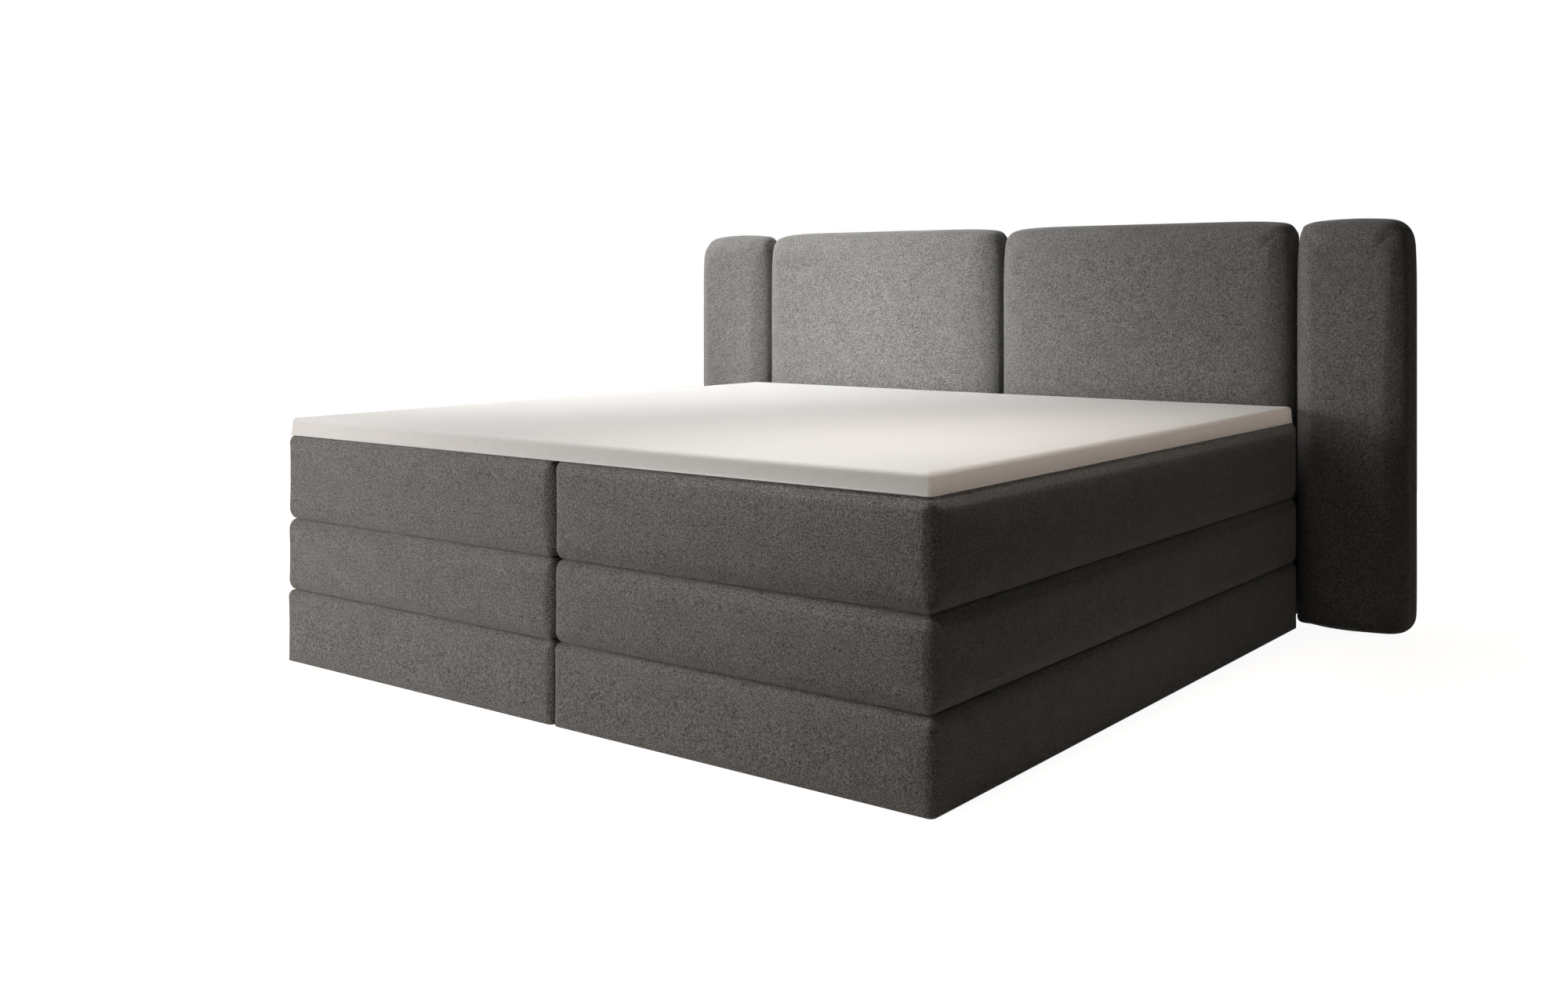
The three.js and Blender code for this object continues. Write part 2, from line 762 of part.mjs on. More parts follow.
// Headboard panels: built lying flat with the front up, then stood against the head end
function standPanel(geometry, centreX, height) {
  geometry.rotateX(Math.PI / 2);
  return geometry.translate(centreX, panelBack, panelFoot + height / 2);
}

function addPanel(name, centreX, width, corners, boltSide) {
  const height = headboardHeight - panelFoot;
  const body = {
    width: width - panelGap,
    length: height,
    height: panelDepth - panelCrown,
    corners,
    edge: panelEdge,
    steps: panelSteps,
    crown: panelCrown,
    drawIn: panelDrawIn,
  };
  const front = headEnd + headboardStandoff;
  const stand = (geometry) => standPanel(geometry, centreX, height);
  const boardSize = smallerBody(body, panelCover + fitGap);
  const recessSize = smallerBody(body, panelCover);
  const boardRoom = { depth: panelBoard + fitGap + cutOverrun, bevelEnabled: false };
  const recess = new THREE.ExtrudeGeometry(panelShape(recessSize), boardRoom).translate(0, 0, -cutOverrun);
  const board = new THREE.ExtrudeGeometry(panelShape(boardSize), { depth: panelBoard, bevelEnabled: false });
  const padCutters = [stand(recess)];
  const boardCutters = [];
  if (boltSide !== 0) {
    padCutters.push(headboardRod(boltSide, sleeveRadius + fitGap, front - cutOverrun, panelBack));
    boardCutters.push(headboardRod(boltSide, boltHole, front, panelBack + cutOverrun));
  }
  add(`${name}_pad`, cut(stand(paddedBody(body)), padCutters), greyFelt);
  add(`${name}_board`, cut(stand(board), boardCutters), particleBoard);
}

function panelShape({ width, length, corners }) {
  const outline = roundedOutline(width, length, corners, plainSteps.corner, 0, false);
  return new THREE.Shape(outline.map(([x, y]) => new THREE.Vector2(x, y)));
}

function addHeadboard() {
  for (const { name, side } of halves) {
    const innerMiddle = (side * innerPanelWidth) / 2;
    const outerMiddle = side * (innerPanelWidth + outerPanelWidth / 2);
    addPanel(`headboard_${name}_inner`, innerMiddle, innerPanelWidth, fourCorners(panelCorner), side);
    const towards = side > 0 ? outerCorner : panelCorner;
    const away = side > 0 ? panelCorner : outerCorner;
    addPanel(`headboard_${name}_outer`, outerMiddle, outerPanelWidth, [towards, towards, away, away], 0);
  }

  const railReach = innerPanelWidth + railOverlap;
  const railFront = panelBack + fitGap;
  const railBack = railFront + railThickness;
  const rail = (z) => (
    block([-railReach, railFront, z - railHeight / 2], [railReach, railBack, z + railHeight / 2])
  );
  const throughRail = halves.map(({ side }) => (
    headboardRod(side, boltHole, railFront - cutOverrun, railBack + cutOverrun)
  ));
  add("headboard_lower_rail", cut(rail(lowerRailHeight), throughRail), pine);
  add("headboard_upper_rail", rail(upperRailHeight), pine);
}

// A threaded stud with a nut at each end, and a sleeve that keeps the pad from being crushed
function addHeadboardBolts() {
  const inside = headEnd - boardIn - fitGap;
  const railBack = panelBack + fitGap + railThickness;
  const sleeveEnd = panelBack - panelBoard - fitGap;
  for (const { name, side } of halves) {
    const along = (radius, fromY, toY) => headboardRod(side, radius, fromY, toY);
    add(`${name}_headboard_bolt`, join([
      along(boltRadius, inside - boltHeadLength / 2, railBack + boltHeadLength / 2),
      along(boltHeadRadius, inside - boltHeadLength, inside),
      along(sleeveRadius, headEnd + fitGap, sleeveEnd),
      along(boltHeadRadius, railBack + fitGap, railBack + fitGap + boltHeadLength),
    ]), zincSteel);
  }
}

for (const half of halves) {
  addStorage(half);
  addFittings(half);
  addSpringBase(half);
  addMattress(half);
}
addJoiningBolts();
addTopper();
addHeadboard();
addHeadboardBolts();

export default bed;
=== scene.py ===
"""Looks of a box spring bed: two upholstered halves with storage, a topper and a padded headboard.

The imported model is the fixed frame, and each class below builds and dresses one sub-assembly on it.
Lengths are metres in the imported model's frame: +X to the right, +Y to the head end, +Z up.
"""

import logging
import math
from collections.abc import Callable, Iterator, Sequence
from contextlib import contextmanager
from dataclasses import dataclass, replace
from enum import Enum

import bmesh
import bpy
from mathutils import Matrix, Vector, noise


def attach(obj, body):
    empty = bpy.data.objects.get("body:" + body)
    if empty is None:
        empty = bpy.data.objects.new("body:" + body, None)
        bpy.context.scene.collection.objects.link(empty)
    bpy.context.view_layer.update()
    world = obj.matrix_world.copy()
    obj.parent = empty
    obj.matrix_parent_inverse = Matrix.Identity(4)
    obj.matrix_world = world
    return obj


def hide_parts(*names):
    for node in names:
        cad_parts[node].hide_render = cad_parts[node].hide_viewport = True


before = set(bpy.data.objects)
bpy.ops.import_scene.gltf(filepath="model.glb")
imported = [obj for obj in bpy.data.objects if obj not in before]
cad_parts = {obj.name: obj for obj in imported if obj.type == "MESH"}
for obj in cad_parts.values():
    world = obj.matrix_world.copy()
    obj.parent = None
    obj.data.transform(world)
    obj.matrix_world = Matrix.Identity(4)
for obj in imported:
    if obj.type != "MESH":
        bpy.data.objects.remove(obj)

Object = bpy.types.Object
Material = bpy.types.Material
Socket = bpy.types.NodeSocket
Colour = tuple[float, float, float]
Place = Callable[[Vector], bool]
EdgeWidth = Callable[[int, Vector], float]

# Lengths that count as nothing: between two ends, between two planes and for a point's way.
SAME = 1e-6
TOUCHING = 1e-5
STILL = 1e-7
# How far a drill or a cutter reaches past what it cuts.
PAST = 0.01

log = logging.getLogger("bed")


class Side(Enum):
    """The two halves of the bed, by the sign of their X."""

    LEFT = -1
    RIGHT = 1

    @property
    def word(self) -> str:
        """The half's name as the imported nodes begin."""
        return self.name.lower()


class Slot(Enum):
    """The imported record's finishes."""

    FELT = "grey_felt"
    KNIT = "white_knit"
    FOAM = "foam"
    FLEECE = "spring_fleece"
    CHIPBOARD = "particle_board"
    PINE = "pine"
    BLACK = "black_steel"
    BRIGHT = "polished_steel"
    ZINC = "zinc_steel"


class Bench:
    """Puts pieces on the bench, for operators that act on whatever is selected."""

    @staticmethod
    def take(*pieces: Object) -> None:
        """Selects only these pieces and makes the first one active.

        Args:
            pieces: What the next operator acts on.
        """
        bpy.ops.object.select_all(action="DESELECT")
        for piece in pieces:
            piece.select_set(True)
        bpy.context.view_layer.objects.active = pieces[0]

    @staticmethod
    def block(name: str, low: Sequence[float], high: Sequence[float]) -> Object:
        """Adds a box between two corners, with its place in its mesh.

        Args:
            name: The piece's name.
            low: The box's lowest corner.
            high: The box's highest corner.

        Returns:
            The new piece.
        """
        bpy.ops.object.select_all(action="DESELECT")
        centre = [(a + b) / 2 for a, b in zip(low, high)]
        bpy.ops.mesh.primitive_cube_add(size=1, location=centre)
        piece = bpy.context.object
        piece.name = piece.data.name = name
        piece.scale = [b - a for a, b in zip(low, high)]
        bpy.ops.object.transform_apply()
        return piece

    @staticmethod
    @contextmanager
    def shaping(piece: Object) -> Iterator[None]:
        """Opens a piece in edit mode with all of it selected, and closes it again.

        Args:
            piece: The piece to shape.

        Yields:
            Nothing, while the piece is open.
        """
        Bench.take(piece)
        bpy.ops.object.mode_set(mode="EDIT")
        bpy.ops.mesh.select_mode(type="FACE")
        bpy.ops.mesh.select_all(action="SELECT")
        yield
        bpy.ops.object.mode_set(mode="OBJECT")

    @staticmethod
    def pick_faces(piece: Object, test: Callable[[Vector, Vector], bool]) -> int:
        """Selects the faces of a piece in edit mode by their place and normal.

        Args:
            piece: The piece on the bench.
            test: Tells from a face's middle and its normal whether it is wanted.

        Returns:
            How many faces are selected.
        """
        bpy.ops.mesh.select_mode(type="FACE")
        bpy.ops.mesh.select_all(action="DESELECT")
        mesh = bmesh.from_edit_mesh(piece.data)
        for face in mesh.faces:
            face.select_set(test(face.calc_center_median(), face.normal))
        bmesh.update_edit_mesh(piece.data)
        return sum(face.select for face in mesh.faces)

    @staticmethod
    def modify(piece: Object, kind: str, **values: object) -> None:
        """Adds a modifier with these values and applies it.

        Args:
            piece: The piece to change.
            kind: Blender's name of the modifier's type.
            values: The modifier's settings.
        """
        Bench.take(piece)
        modifier = piece.modifiers.new(kind.title(), kind)
        for name, value in values.items():
            setattr(modifier, name, value)
        bpy.ops.object.modifier_apply(modifier=modifier.name)

    @staticmethod
    def stretch(piece: Object, factors: Sequence[float]) -> None:
        """Scales a piece's mesh about the frame's origin.

        Args:
            piece: The piece to change.
            factors: The factor along each axis.
        """
        Bench.take(piece)
        piece.scale = factors
        bpy.ops.object.transform_apply()

    @staticmethod
    def round_edges(piece: Object, width: EdgeWidth, segments: int, axis: int = 2) -> None:
        """Rounds the edges of a box: first those along an axis, then the rims of its two ends.

        Args:
            piece: The box.
            width: Gives an edge's width from its direction's axis and its place off the middle.
                A rim's width is less than that of the edges rounded first.
            segments: How many faces a rounding has.
            axis: The axis of the edges that are rounded first.
        """
        points = [vertex.co.copy() for vertex in piece.data.vertices]
        middle = sum(points, Vector()) / len(points)
        ends = [pick(point[axis] for point in points) for pick in (min, max)]

        def upright(first: Vector, last: Vector) -> float:
            """Width of an edge along the axis, and none for the others."""
            along = abs(last[axis] - first[axis]) >= SAME
            return width(axis, (first + last) / 2 - middle) if along else 0.0

        def rim(first: Vector, last: Vector) -> float:
            """Width of an edge of an end's rim, and none for the others."""
            flat = any(abs(first[axis] - end) + abs(last[axis] - end) < SAME for end in ends)
            return width((axis + 1) % 3, (first + last) / 2 - middle) if flat else 0.0

        Bench._bevel(piece, upright, segments)
        Bench._bevel(piece, rim, segments)

    @staticmethod
    def round_corners(piece: Object, axis: int, near: float, far: float, segments: int) -> None:
        """Rounds only those edges of a box that lie along an axis.

        Args:
            piece: The box.
            axis: The axis.
            near: Width of the edges at the box's lower X.
            far: Width of those at its higher X.
            segments: How many faces a rounding has.
        """
        def width(along: int, place: Vector) -> float:
            """Width of an edge along the axis, and none for the others."""
            corner = far if place.x > 0 else near
            return corner if along == axis else 0.0

        Bench.round_edges(piece, width, segments, axis)

    @staticmethod
    def _bevel(piece: Object, width: Callable[[Vector, Vector], float], segments: int) -> None:
        """Bevels each edge of a piece by a width of its own.

        Args:
            piece: The piece to bevel.
            width: Works out an edge's width from its two ends.
            segments: How many faces a rounding has.
        """
        mesh = piece.data
        points = [vertex.co for vertex in mesh.vertices]
        widths = [width(*(points[index] for index in edge.vertices)) for edge in mesh.edges]
        widest = max(widths)
        if widest == 0:
            return
        name = "bevel_weight_edge"
        if name in mesh.attributes:
            mesh.attributes.remove(mesh.attributes[name])
        weights = mesh.attributes.new(name, "FLOAT", "EDGE")
        weights.data.foreach_set("value", [each / widest for each in widths])
        Bench.modify(piece, "BEVEL", limit_method="WEIGHT", width=widest, segments=segments,
                     use_clamp_overlap=False, offset_type="OFFSET")
        mesh.attributes.remove(mesh.attributes[name])

    @staticmethod
    def cut_with(piece: Object, tool: Object) -> None:
        """Cuts a tool's shape out of a piece and removes the tool."""
        Bench.modify(piece, "BOOLEAN", operation="DIFFERENCE", object=tool, solver="EXACT")
        bpy.data.objects.remove(tool)

    @staticmethod
    def cut(piece: Object, low: Sequence[float], high: Sequence[float]) -> None:
        """Cuts the box between two corners out of a piece."""
        Bench.cut_with(piece, Bench.block("cutter", low, high))

    @staticmethod
    def drill(piece: Object, radius: float, start: Sequence[float], end: Sequence[float],
              sides: int = 32) -> None:
        """Cuts a round hole between two points out of a piece."""
        Bench.cut_with(piece, Bench.rod("drill", radius, start, end, sides))

    @staticmethod
    def copy(piece: Object, name: str) -> Object:
        """Copies a piece with a mesh of its own.

        Args:
            piece: The piece to copy.
            name: The copy's name.

        Returns:
            The copy.
        """
        Bench.take(piece)
        bpy.ops.object.duplicate()
        twin = bpy.context.object
        twin.name = twin.data.name = name
        return twin

    @staticmethod
    def placed(piece: Object, name: str, flip: bool, shift: float) -> Object:
        """Copies a piece to another place along X.

        Args:
            piece: The piece to copy.
            name: The copy's name.
            flip: Whether the copy is turned left to right.
            shift: How far it then moves along X.

        Returns:
            The copy, with its faces outward.
        """
        twin = Bench.copy(piece, name)
        twin.scale = (-1 if flip else 1, 1, 1)
        twin.location = (shift, 0, 0)
        bpy.ops.object.transform_apply()
        if flip:
            with Bench.shaping(twin):
                bpy.ops.mesh.normals_make_consistent(inside=False)
        return twin

    @staticmethod
    def mirrored(piece: Object, name: str) -> Object:
        """Copies a piece to the other half of the bed, and turns its faces outward again."""
        return Bench.placed(piece, name, True, 0)

    @staticmethod
    def rod(name: str, radius: float, start: Sequence[float], end: Sequence[float],
            sides: int = 32) -> Object:
        """Adds a round bar between two points, with its place in its mesh.

        Args:
            name: The piece's name.
            radius: The bar's radius.
            start: One end of its axis.
            end: The other end.
            sides: How many faces it has around.

        Returns:
            The new piece.
        """
        bpy.ops.object.select_all(action="DESELECT")
        run = Vector(end) - Vector(start)
        middle = (Vector(start) + Vector(end)) / 2
        turn = run.to_track_quat("Z", "Y").to_euler()
        bpy.ops.mesh.primitive_cylinder_add(vertices=sides, radius=radius, depth=run.length,
                                            location=middle, rotation=turn)
        piece = bpy.context.object
        piece.name = piece.data.name = name
        bpy.ops.object.transform_apply()
        return piece

    @staticmethod
    def weld(piece: Object, *others: Object) -> None:
        """Unites other pieces with a piece into one skin.

        Args:
            piece: The piece that grows.
            others: What it takes in.
        """
        for other in others:
            Bench.modify(piece, "BOOLEAN", operation="UNION", object=other, solver="EXACT")
            bpy.data.objects.remove(other)

    @staticmethod
    def gather(piece: Object, *others: Object) -> Object:
        """Joins other pieces to a piece as loose parts of one object.

        Args:
            piece: The piece that grows.
            others: What it takes in.

        Returns:
            The piece.
        """
        Bench.take(piece, *others)
        bpy.ops.object.join()
        return piece

    @staticmethod
    def ease(piece: Object, width: float, segments: int = 2) -> None:
        """Rounds every sharp edge of a piece by a width."""
        Bench.modify(piece, "BEVEL", limit_method="ANGLE", angle_limit=math.radians(40),
                     width=width, segments=segments)

    @staticmethod
    def repeat(piece: Object, count: int, step: Sequence[float]) -> None:
        """Repeats a piece in a row, one step after another."""
        Bench.modify(piece, "ARRAY", count=count, use_relative_offset=False,
                     use_constant_offset=True, constant_offset_displace=step)

    @staticmethod
    def smooth(piece: Object, angle: float = 35) -> None:
        """Shades a piece smooth, apart from edges sharper than an angle in degrees."""
        Bench.take(piece)
        bpy.ops.object.shade_smooth_by_angle(angle=math.radians(angle))


@dataclass
class Piece:
    """How one finished piece joins the frame.

    In the words of a piece that both halves have, {side} stands for the half.
    """

    thing: Object
    body: str
    slot: Slot
    material: Material
    nodes: tuple[str, ...] = ()
    fill: float | None = None

    def join(self) -> None:
        """Gives the piece its finish and body, hides the nodes it stands for, and reports it."""
        self.thing.data.materials.clear()
        self.thing.data.materials.append(self.material)
        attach(self.thing, self.body)
        if self.nodes:
            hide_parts(*self.nodes)
        faces = len(self.thing.data.polygons)
        log.info("%s rides on %s, %d faces", self.thing.name, self.body, faces)

    def on(self, side: Side, thing: Object) -> "Piece":
        """Describes the same piece for one half.

        Args:
            side: The half.
            thing: That half's object.

        Returns:
            The half's own piece.
        """
        nodes = tuple(node.format(side=side.word) for node in self.nodes)
        return replace(self, thing=thing, body=self.body.format(side=side.word), nodes=nodes)

    def join_both(self, name: str, angle: float | None = 35) -> None:
        """Joins a copy on each half, turned over on the left, and takes the piece itself away.

        Args:
            name: The copies' name, with {side}.
            angle: Edges sharper than this, in degrees, stay sharp. With None all of them do.
        """
        for side in Side:
            twin = Bench.placed(self.thing, name.format(side=side.word), side is Side.LEFT, 0)
            if angle is not None:
                Bench.smooth(twin, angle)
            self.on(side, twin).join()
        bpy.data.objects.remove(self.thing)


@dataclass
class Padding:
    """One upholstered block: its box, its round edges and how its cover fills out.

    Widths of round edges go by the edge's direction and middle. The cover is stretched upward
    by ``rise``, so that a round edge may be higher than it is deep. Its points move in and out
    by ``unevenness``, in waves of two lengths.
    """

    low: Vector
    high: Vector
    edge_width: EdgeWidth = lambda along, place: 0.0
    rise: float = 1.0
    segments: int = 6
    mesh_size: float = 0.04
    travel: float = 0.004
    held: Place = lambda place: False
    unevenness: float = 0.0006
    wide_wave: float = 0.22
    near_wave: float = 0.07
    near_share: float = 0.4
    pressure: float = 4
    frames: int = 20
    sharpest: float = 0.002

    def sewn(self, name: str) -> Object:
        """Builds the block with its round edges and a net of faces for the cloth.

        Args:
            name: The piece's name.

        Returns:
            The block, not yet filled.
        """
        piece = Bench.block(name, self.low, self.high)
        Bench.stretch(piece, (1, 1, 1 / self.rise))
        Bench.round_edges(piece, self.edge_width, self.segments)
        Bench.stretch(piece, (1, 1, self.rise))
        with Bench.shaping(piece):
            bpy.ops.mesh.remove_doubles(threshold=TOUCHING)
            self._cut_net()
        return piece

    def _cut_net(self) -> None:
        """Cuts the flats of the block in edit mode into a net of even faces."""
        for axis in range(3):
            normal = [float(axis == other) for other in range(3)]
            for cut in self.cuts(axis):
                bpy.ops.mesh.select_all(action="SELECT")
                bpy.ops.mesh.bisect(plane_co=[cut * part for part in normal], plane_no=normal)

    def cuts(self, axis: int) -> list[float]:
        """Gives the places of the net's cuts across an axis.

        Args:
            axis: The axis that they stand across.

        Returns:
            Their places along it.
        """
        room = 0.6 * self.mesh_size
        start, end = self.low[axis] + room, self.high[axis] - room
        count = round((end - start) / self.mesh_size)
        return [start + (end - start) * step / max(count, 1) for step in range(count + 1)]

    def filled(self, name: str) -> Object:
        """Builds the block, fills it out and gives it one subdivision.

        Args:
            name: The piece's name.

        Returns:
            The finished block.
        """
        piece = self.sewn(name)
        self._blow_up(piece)
        Bench.modify(piece, "SUBSURF", levels=1, render_levels=1)
        return piece

    def core(self, name: str, wall: float) -> Object:
        """Builds the block's filling, which lies a wall's thickness inside it.

        Args:
            name: The filling's name.
            wall: How far it lies inside.

        Returns:
            The filling.
        """
        def edge_width(along: int, place: Vector) -> float:
            """Width of the rounding of an edge of the filling."""
            return max(self.edge_width(along, place) - wall, self.sharpest)

        inset = Vector((wall, wall, wall))
        inner = Padding(self.low + inset, self.high - inset, edge_width, self.rise, segments=4,
                        mesh_size=10)
        return inner.sewn(name)

    def _blow_up(self, piece: Object) -> None:
        """Runs a cloth simulation with pressure, and caps how far any point has moved.

        Args:
            piece: The block with its net of faces.
        """
        rest = [vertex.co.copy() for vertex in piece.data.vertices]
        group = piece.vertex_groups.new(name="held")
        group.add([i for i, place in enumerate(rest) if self.held(place)], 1, "REPLACE")
        Bench.take(piece)
        cloth = piece.modifiers.new("Cloth", "CLOTH")
        cloth.settings.use_pressure = True
        cloth.settings.uniform_pressure_force = self.pressure
        cloth.settings.vertex_group_mass = group.name
        cloth.settings.effector_weights.gravity = 0
        cloth.point_cache.frame_start, cloth.point_cache.frame_end = 1, self.frames
        for number in range(1, self.frames + 1):
            bpy.context.scene.frame_set(number)
        bpy.ops.object.modifier_apply(modifier=cloth.name)
        bpy.context.scene.frame_set(1)
        for vertex, start in zip(piece.data.vertices, rest):
            moved = vertex.co - start
            if moved.length > STILL:
                share = math.tanh(moved.length / self.travel) * self.travel / moved.length
                vertex.co = start + moved * share
        piece.vertex_groups.clear()

    def laid_unevenly(self, piece: Object, seed: int) -> None:
        """Moves points in and out by a slow noise, as wadding does under a cover.

        Args:
            piece: The filled block.
            seed: Another number gives another unevenness.
        """
        away = Vector((3.7, 1.3, 2.1)) * seed
        normals = [vertex.normal.copy() for vertex in piece.data.vertices]
        for vertex, normal in zip(piece.data.vertices, normals):
            if not self.held(vertex.co):
                wide = noise.noise(vertex.co / self.wide_wave + away)
                near = noise.noise(vertex.co / self.near_wave + away)
                vertex.co += normal * self.unevenness * (wide + self.near_share * near)
        piece.data.update()

    def join_both(self, cover: Piece, name: str, seed: int) -> None:
        """Joins a cover of the right half and its mirror image, each uneven in its own way.

        Args:
            cover: The right half's cover.
            name: The covers' name, with {side}.
            seed: Another number gives another unevenness.
        """
        other = Bench.mirrored(cover.thing, name.format(side=Side.LEFT.word))
        own = name.format(side=Side.RIGHT.word)
        cover.thing.name = cover.thing.data.name = own
        for side, thing in ((Side.LEFT, other), (Side.RIGHT, cover.thing)):
            self.laid_unevenly(thing, seed + side.value)
            Bench.smooth(thing)
            cover.on(side, thing).join()


@dataclass
class PanelPadding(Padding):
    """An upright padded panel: rims drawn in ring by ring, and corners rounded in front view.

    The front's rim runs in further than it runs out, and flattens slowly. Along the foot it runs
    in by a share of that. Each ring's corners are rounder than those of the ring outside it.
    """

    rim: float = 0.054
    rim_inset: float = 0.080
    back_rim: float = 0.004
    corner: float = 0.050
    far_corner: float = 0.050
    foot_share: float = 0.3
    foot_corner_share: float = 0.45
    far_foot_share: float = 0.85
    rounder: float = 0.25
    flattening: float = 2.4
    side_cut: float = 0.02
    closest_cuts: tuple[float, ...] = (0.005, 0.012, 0.021, 0.032, 0.046, 0.062, 0.080, 0.102)

    def sewn(self, name: str) -> Object:
        """Builds the panel from a block, whose front and back are extruded and drawn in.

        Args:
            name: The piece's name.

        Returns:
            The panel, not yet filled.
        """
        piece = Bench.block(name, (self.low.x, self.low.y + self.rim, self.low.z),
                            (self.high.x, self.high.y - self.back_rim, self.high.z))
        with Bench.shaping(piece):
            self._draw_in(piece, -1, self.rim, self.rim_inset, self.segments)
            self._draw_in(piece, 1, self.back_rim, self.back_rim, 2)
            bpy.ops.mesh.select_all(action="SELECT")
            self._cut_net()
        self._round_corners(piece)
        return piece

    def _draw_in(self, piece: Object, way: int, rim: float, reach: float, steps: int) -> None:
        """Extrudes the front or the back in steps and draws each ring in along a soft quarter.

        Args:
            piece: The block in edit mode.
            way: -1 for the front, 1 for the back.
            rim: How far the rim reaches out.
            reach: How far it reaches in.
            steps: How many rings it gets.
        """
        middle = (self.low + self.high) / 2
        full = self.high - self.low
        start = self.low.y + rim if way < 0 else self.high.y - rim
        inset, out = 0.0, 0.0
        power = 2 / self.flattening
        for step in range(1, steps + 1):
            angle = math.pi / 2 * step / steps
            next_inset = reach * (1 - max(math.cos(angle), 0.0) ** power)
            next_out = rim * math.sin(angle) ** power
            here = start + way * out
            Bench.pick_faces(piece, lambda place, normal: abs(place.y - here) < TOUCHING
                             and normal.y * way > 0.9)
            move = (0, way * (next_out - out), 0)
            bpy.ops.mesh.extrude_region_move(TRANSFORM_OT_translate={"value": move})
            up = 1 + self.foot_share
            scale = [(side - part * next_inset) / (side - part * inset)
                     for side, part in ((full.x, 2), (full.z, up))]
            middle.z = self.low.z + full.z * self.foot_share / up
            bpy.ops.transform.resize(value=(scale[0], 1, scale[1]), center_override=middle)
            inset, out = next_inset, next_out

    def cuts(self, axis: int) -> list[float]:
        """Gives the net's cuts, closer together near the corners.

        Args:
            axis: The axis that they stand across.

        Returns:
            Their places along it.
        """
        if axis == 1:
            return [self.low.y + self.rim + self.side_cut]
        low, high = self.low[axis], self.high[axis]
        near, last = list(self.closest_cuts), self.closest_cuts[-1]
        count = round((high - low - 2 * last) / self.mesh_size)
        even = [low + last + (high - low - 2 * last) * step / count for step in range(1, count)]
        return [low + cut for cut in near] + even + [high - cut for cut in near]

    def _round_corners(self, piece: Object) -> None:
        """Draws the corners' square rings onto circles, seen from the front.

        Args:
            piece: The panel with its rims drawn in.
        """
        middle = (self.low + self.high) / 2
        half = (self.high - self.low) / 2
        for vertex in piece.data.vertices:
            place = vertex.co - middle
            upward = 1.0 if place.z > 0 else self.foot_share
            across = Vector((abs(place.x), abs(place.z)))
            inset = min(half.x - across.x, (half.z - across.y) / upward, self.rim_inset)
            radius = self.far_corner if place.x > 0 else self.corner
            if place.z < 0:
                radius *= self.far_foot_share if place.x > 0 else self.foot_corner_share
            radius += self.rounder * inset
            centre = Vector((half.x - inset - radius, half.z - inset * upward - radius))
            beyond = across - centre
            if min(beyond) > 0:
                beyond *= max(beyond) / beyond.length
                vertex.co.x = middle.x + math.copysign(centre.x + beyond.x, place.x)
                vertex.co.z = middle.z + math.copysign(centre.y + beyond.y, place.z)


class Nodes:
    """Lays out the nodes of one tree."""

    def __init__(self, tree: bpy.types.NodeTree) -> None:
        """Starts on a tree.

        Args:
            tree: The tree of a material or of the world.
        """
        self.tree = tree

    def node(self, kind: str, inputs: dict[str | int, object], **values: object) -> bpy.types.Node:
        """Adds a node.

        Args:
            kind: The node's type.
            inputs: A value or another node's socket for each input.
            values: The node's own settings.

        Returns:
            The new node.
        """
        made = self.tree.nodes.new(kind)
        for name, value in values.items():
            setattr(made, name, value)
        for name, value in inputs.items():
            if isinstance(value, Socket):
                self.tree.links.new(value, made.inputs[name])
            else:
                made.inputs[name].default_value = value
        return made

    def math(self, operation: str, first: Socket, second: Socket | float) -> Socket:
        """Works out one value from two."""
        return self.node("ShaderNodeMath", {0: first, 1: second}, operation=operation).outputs[0]

    def span(self, value: Socket, low: float, high: float, to_low: float = 0,
             to_high: float = 1) -> Socket:
        """Maps a value from one span to another, with no overshoot."""
        inputs = {"Value": value, "From Min": low, "From Max": high, "To Min": to_low,
                  "To Max": to_high}
        return self.node("ShaderNodeMapRange", inputs).outputs["Result"]

    def tint(self, factor: Socket, low: Colour, high: Colour) -> Socket:
        """Runs from one colour to another with a value from 0 to 1."""
        inputs = {"Factor": factor, 6: (*low, 1), 7: (*high, 1)}
        return self.node("ShaderNodeMix", inputs, data_type="RGBA").outputs[2]

    def seen(self) -> Socket:
        """Tells rays of the camera, of gloss and of glass from all others.

        Returns:
            A value that is 1 for them and 0 for the others.
        """
        path = self.node("ShaderNodeLightPath", {})
        total = path.outputs["Is Camera Ray"]
        for name in ("Is Glossy Ray", "Is Transmission Ray"):
            total = self.math("MAXIMUM", total, path.outputs[name])
        return total


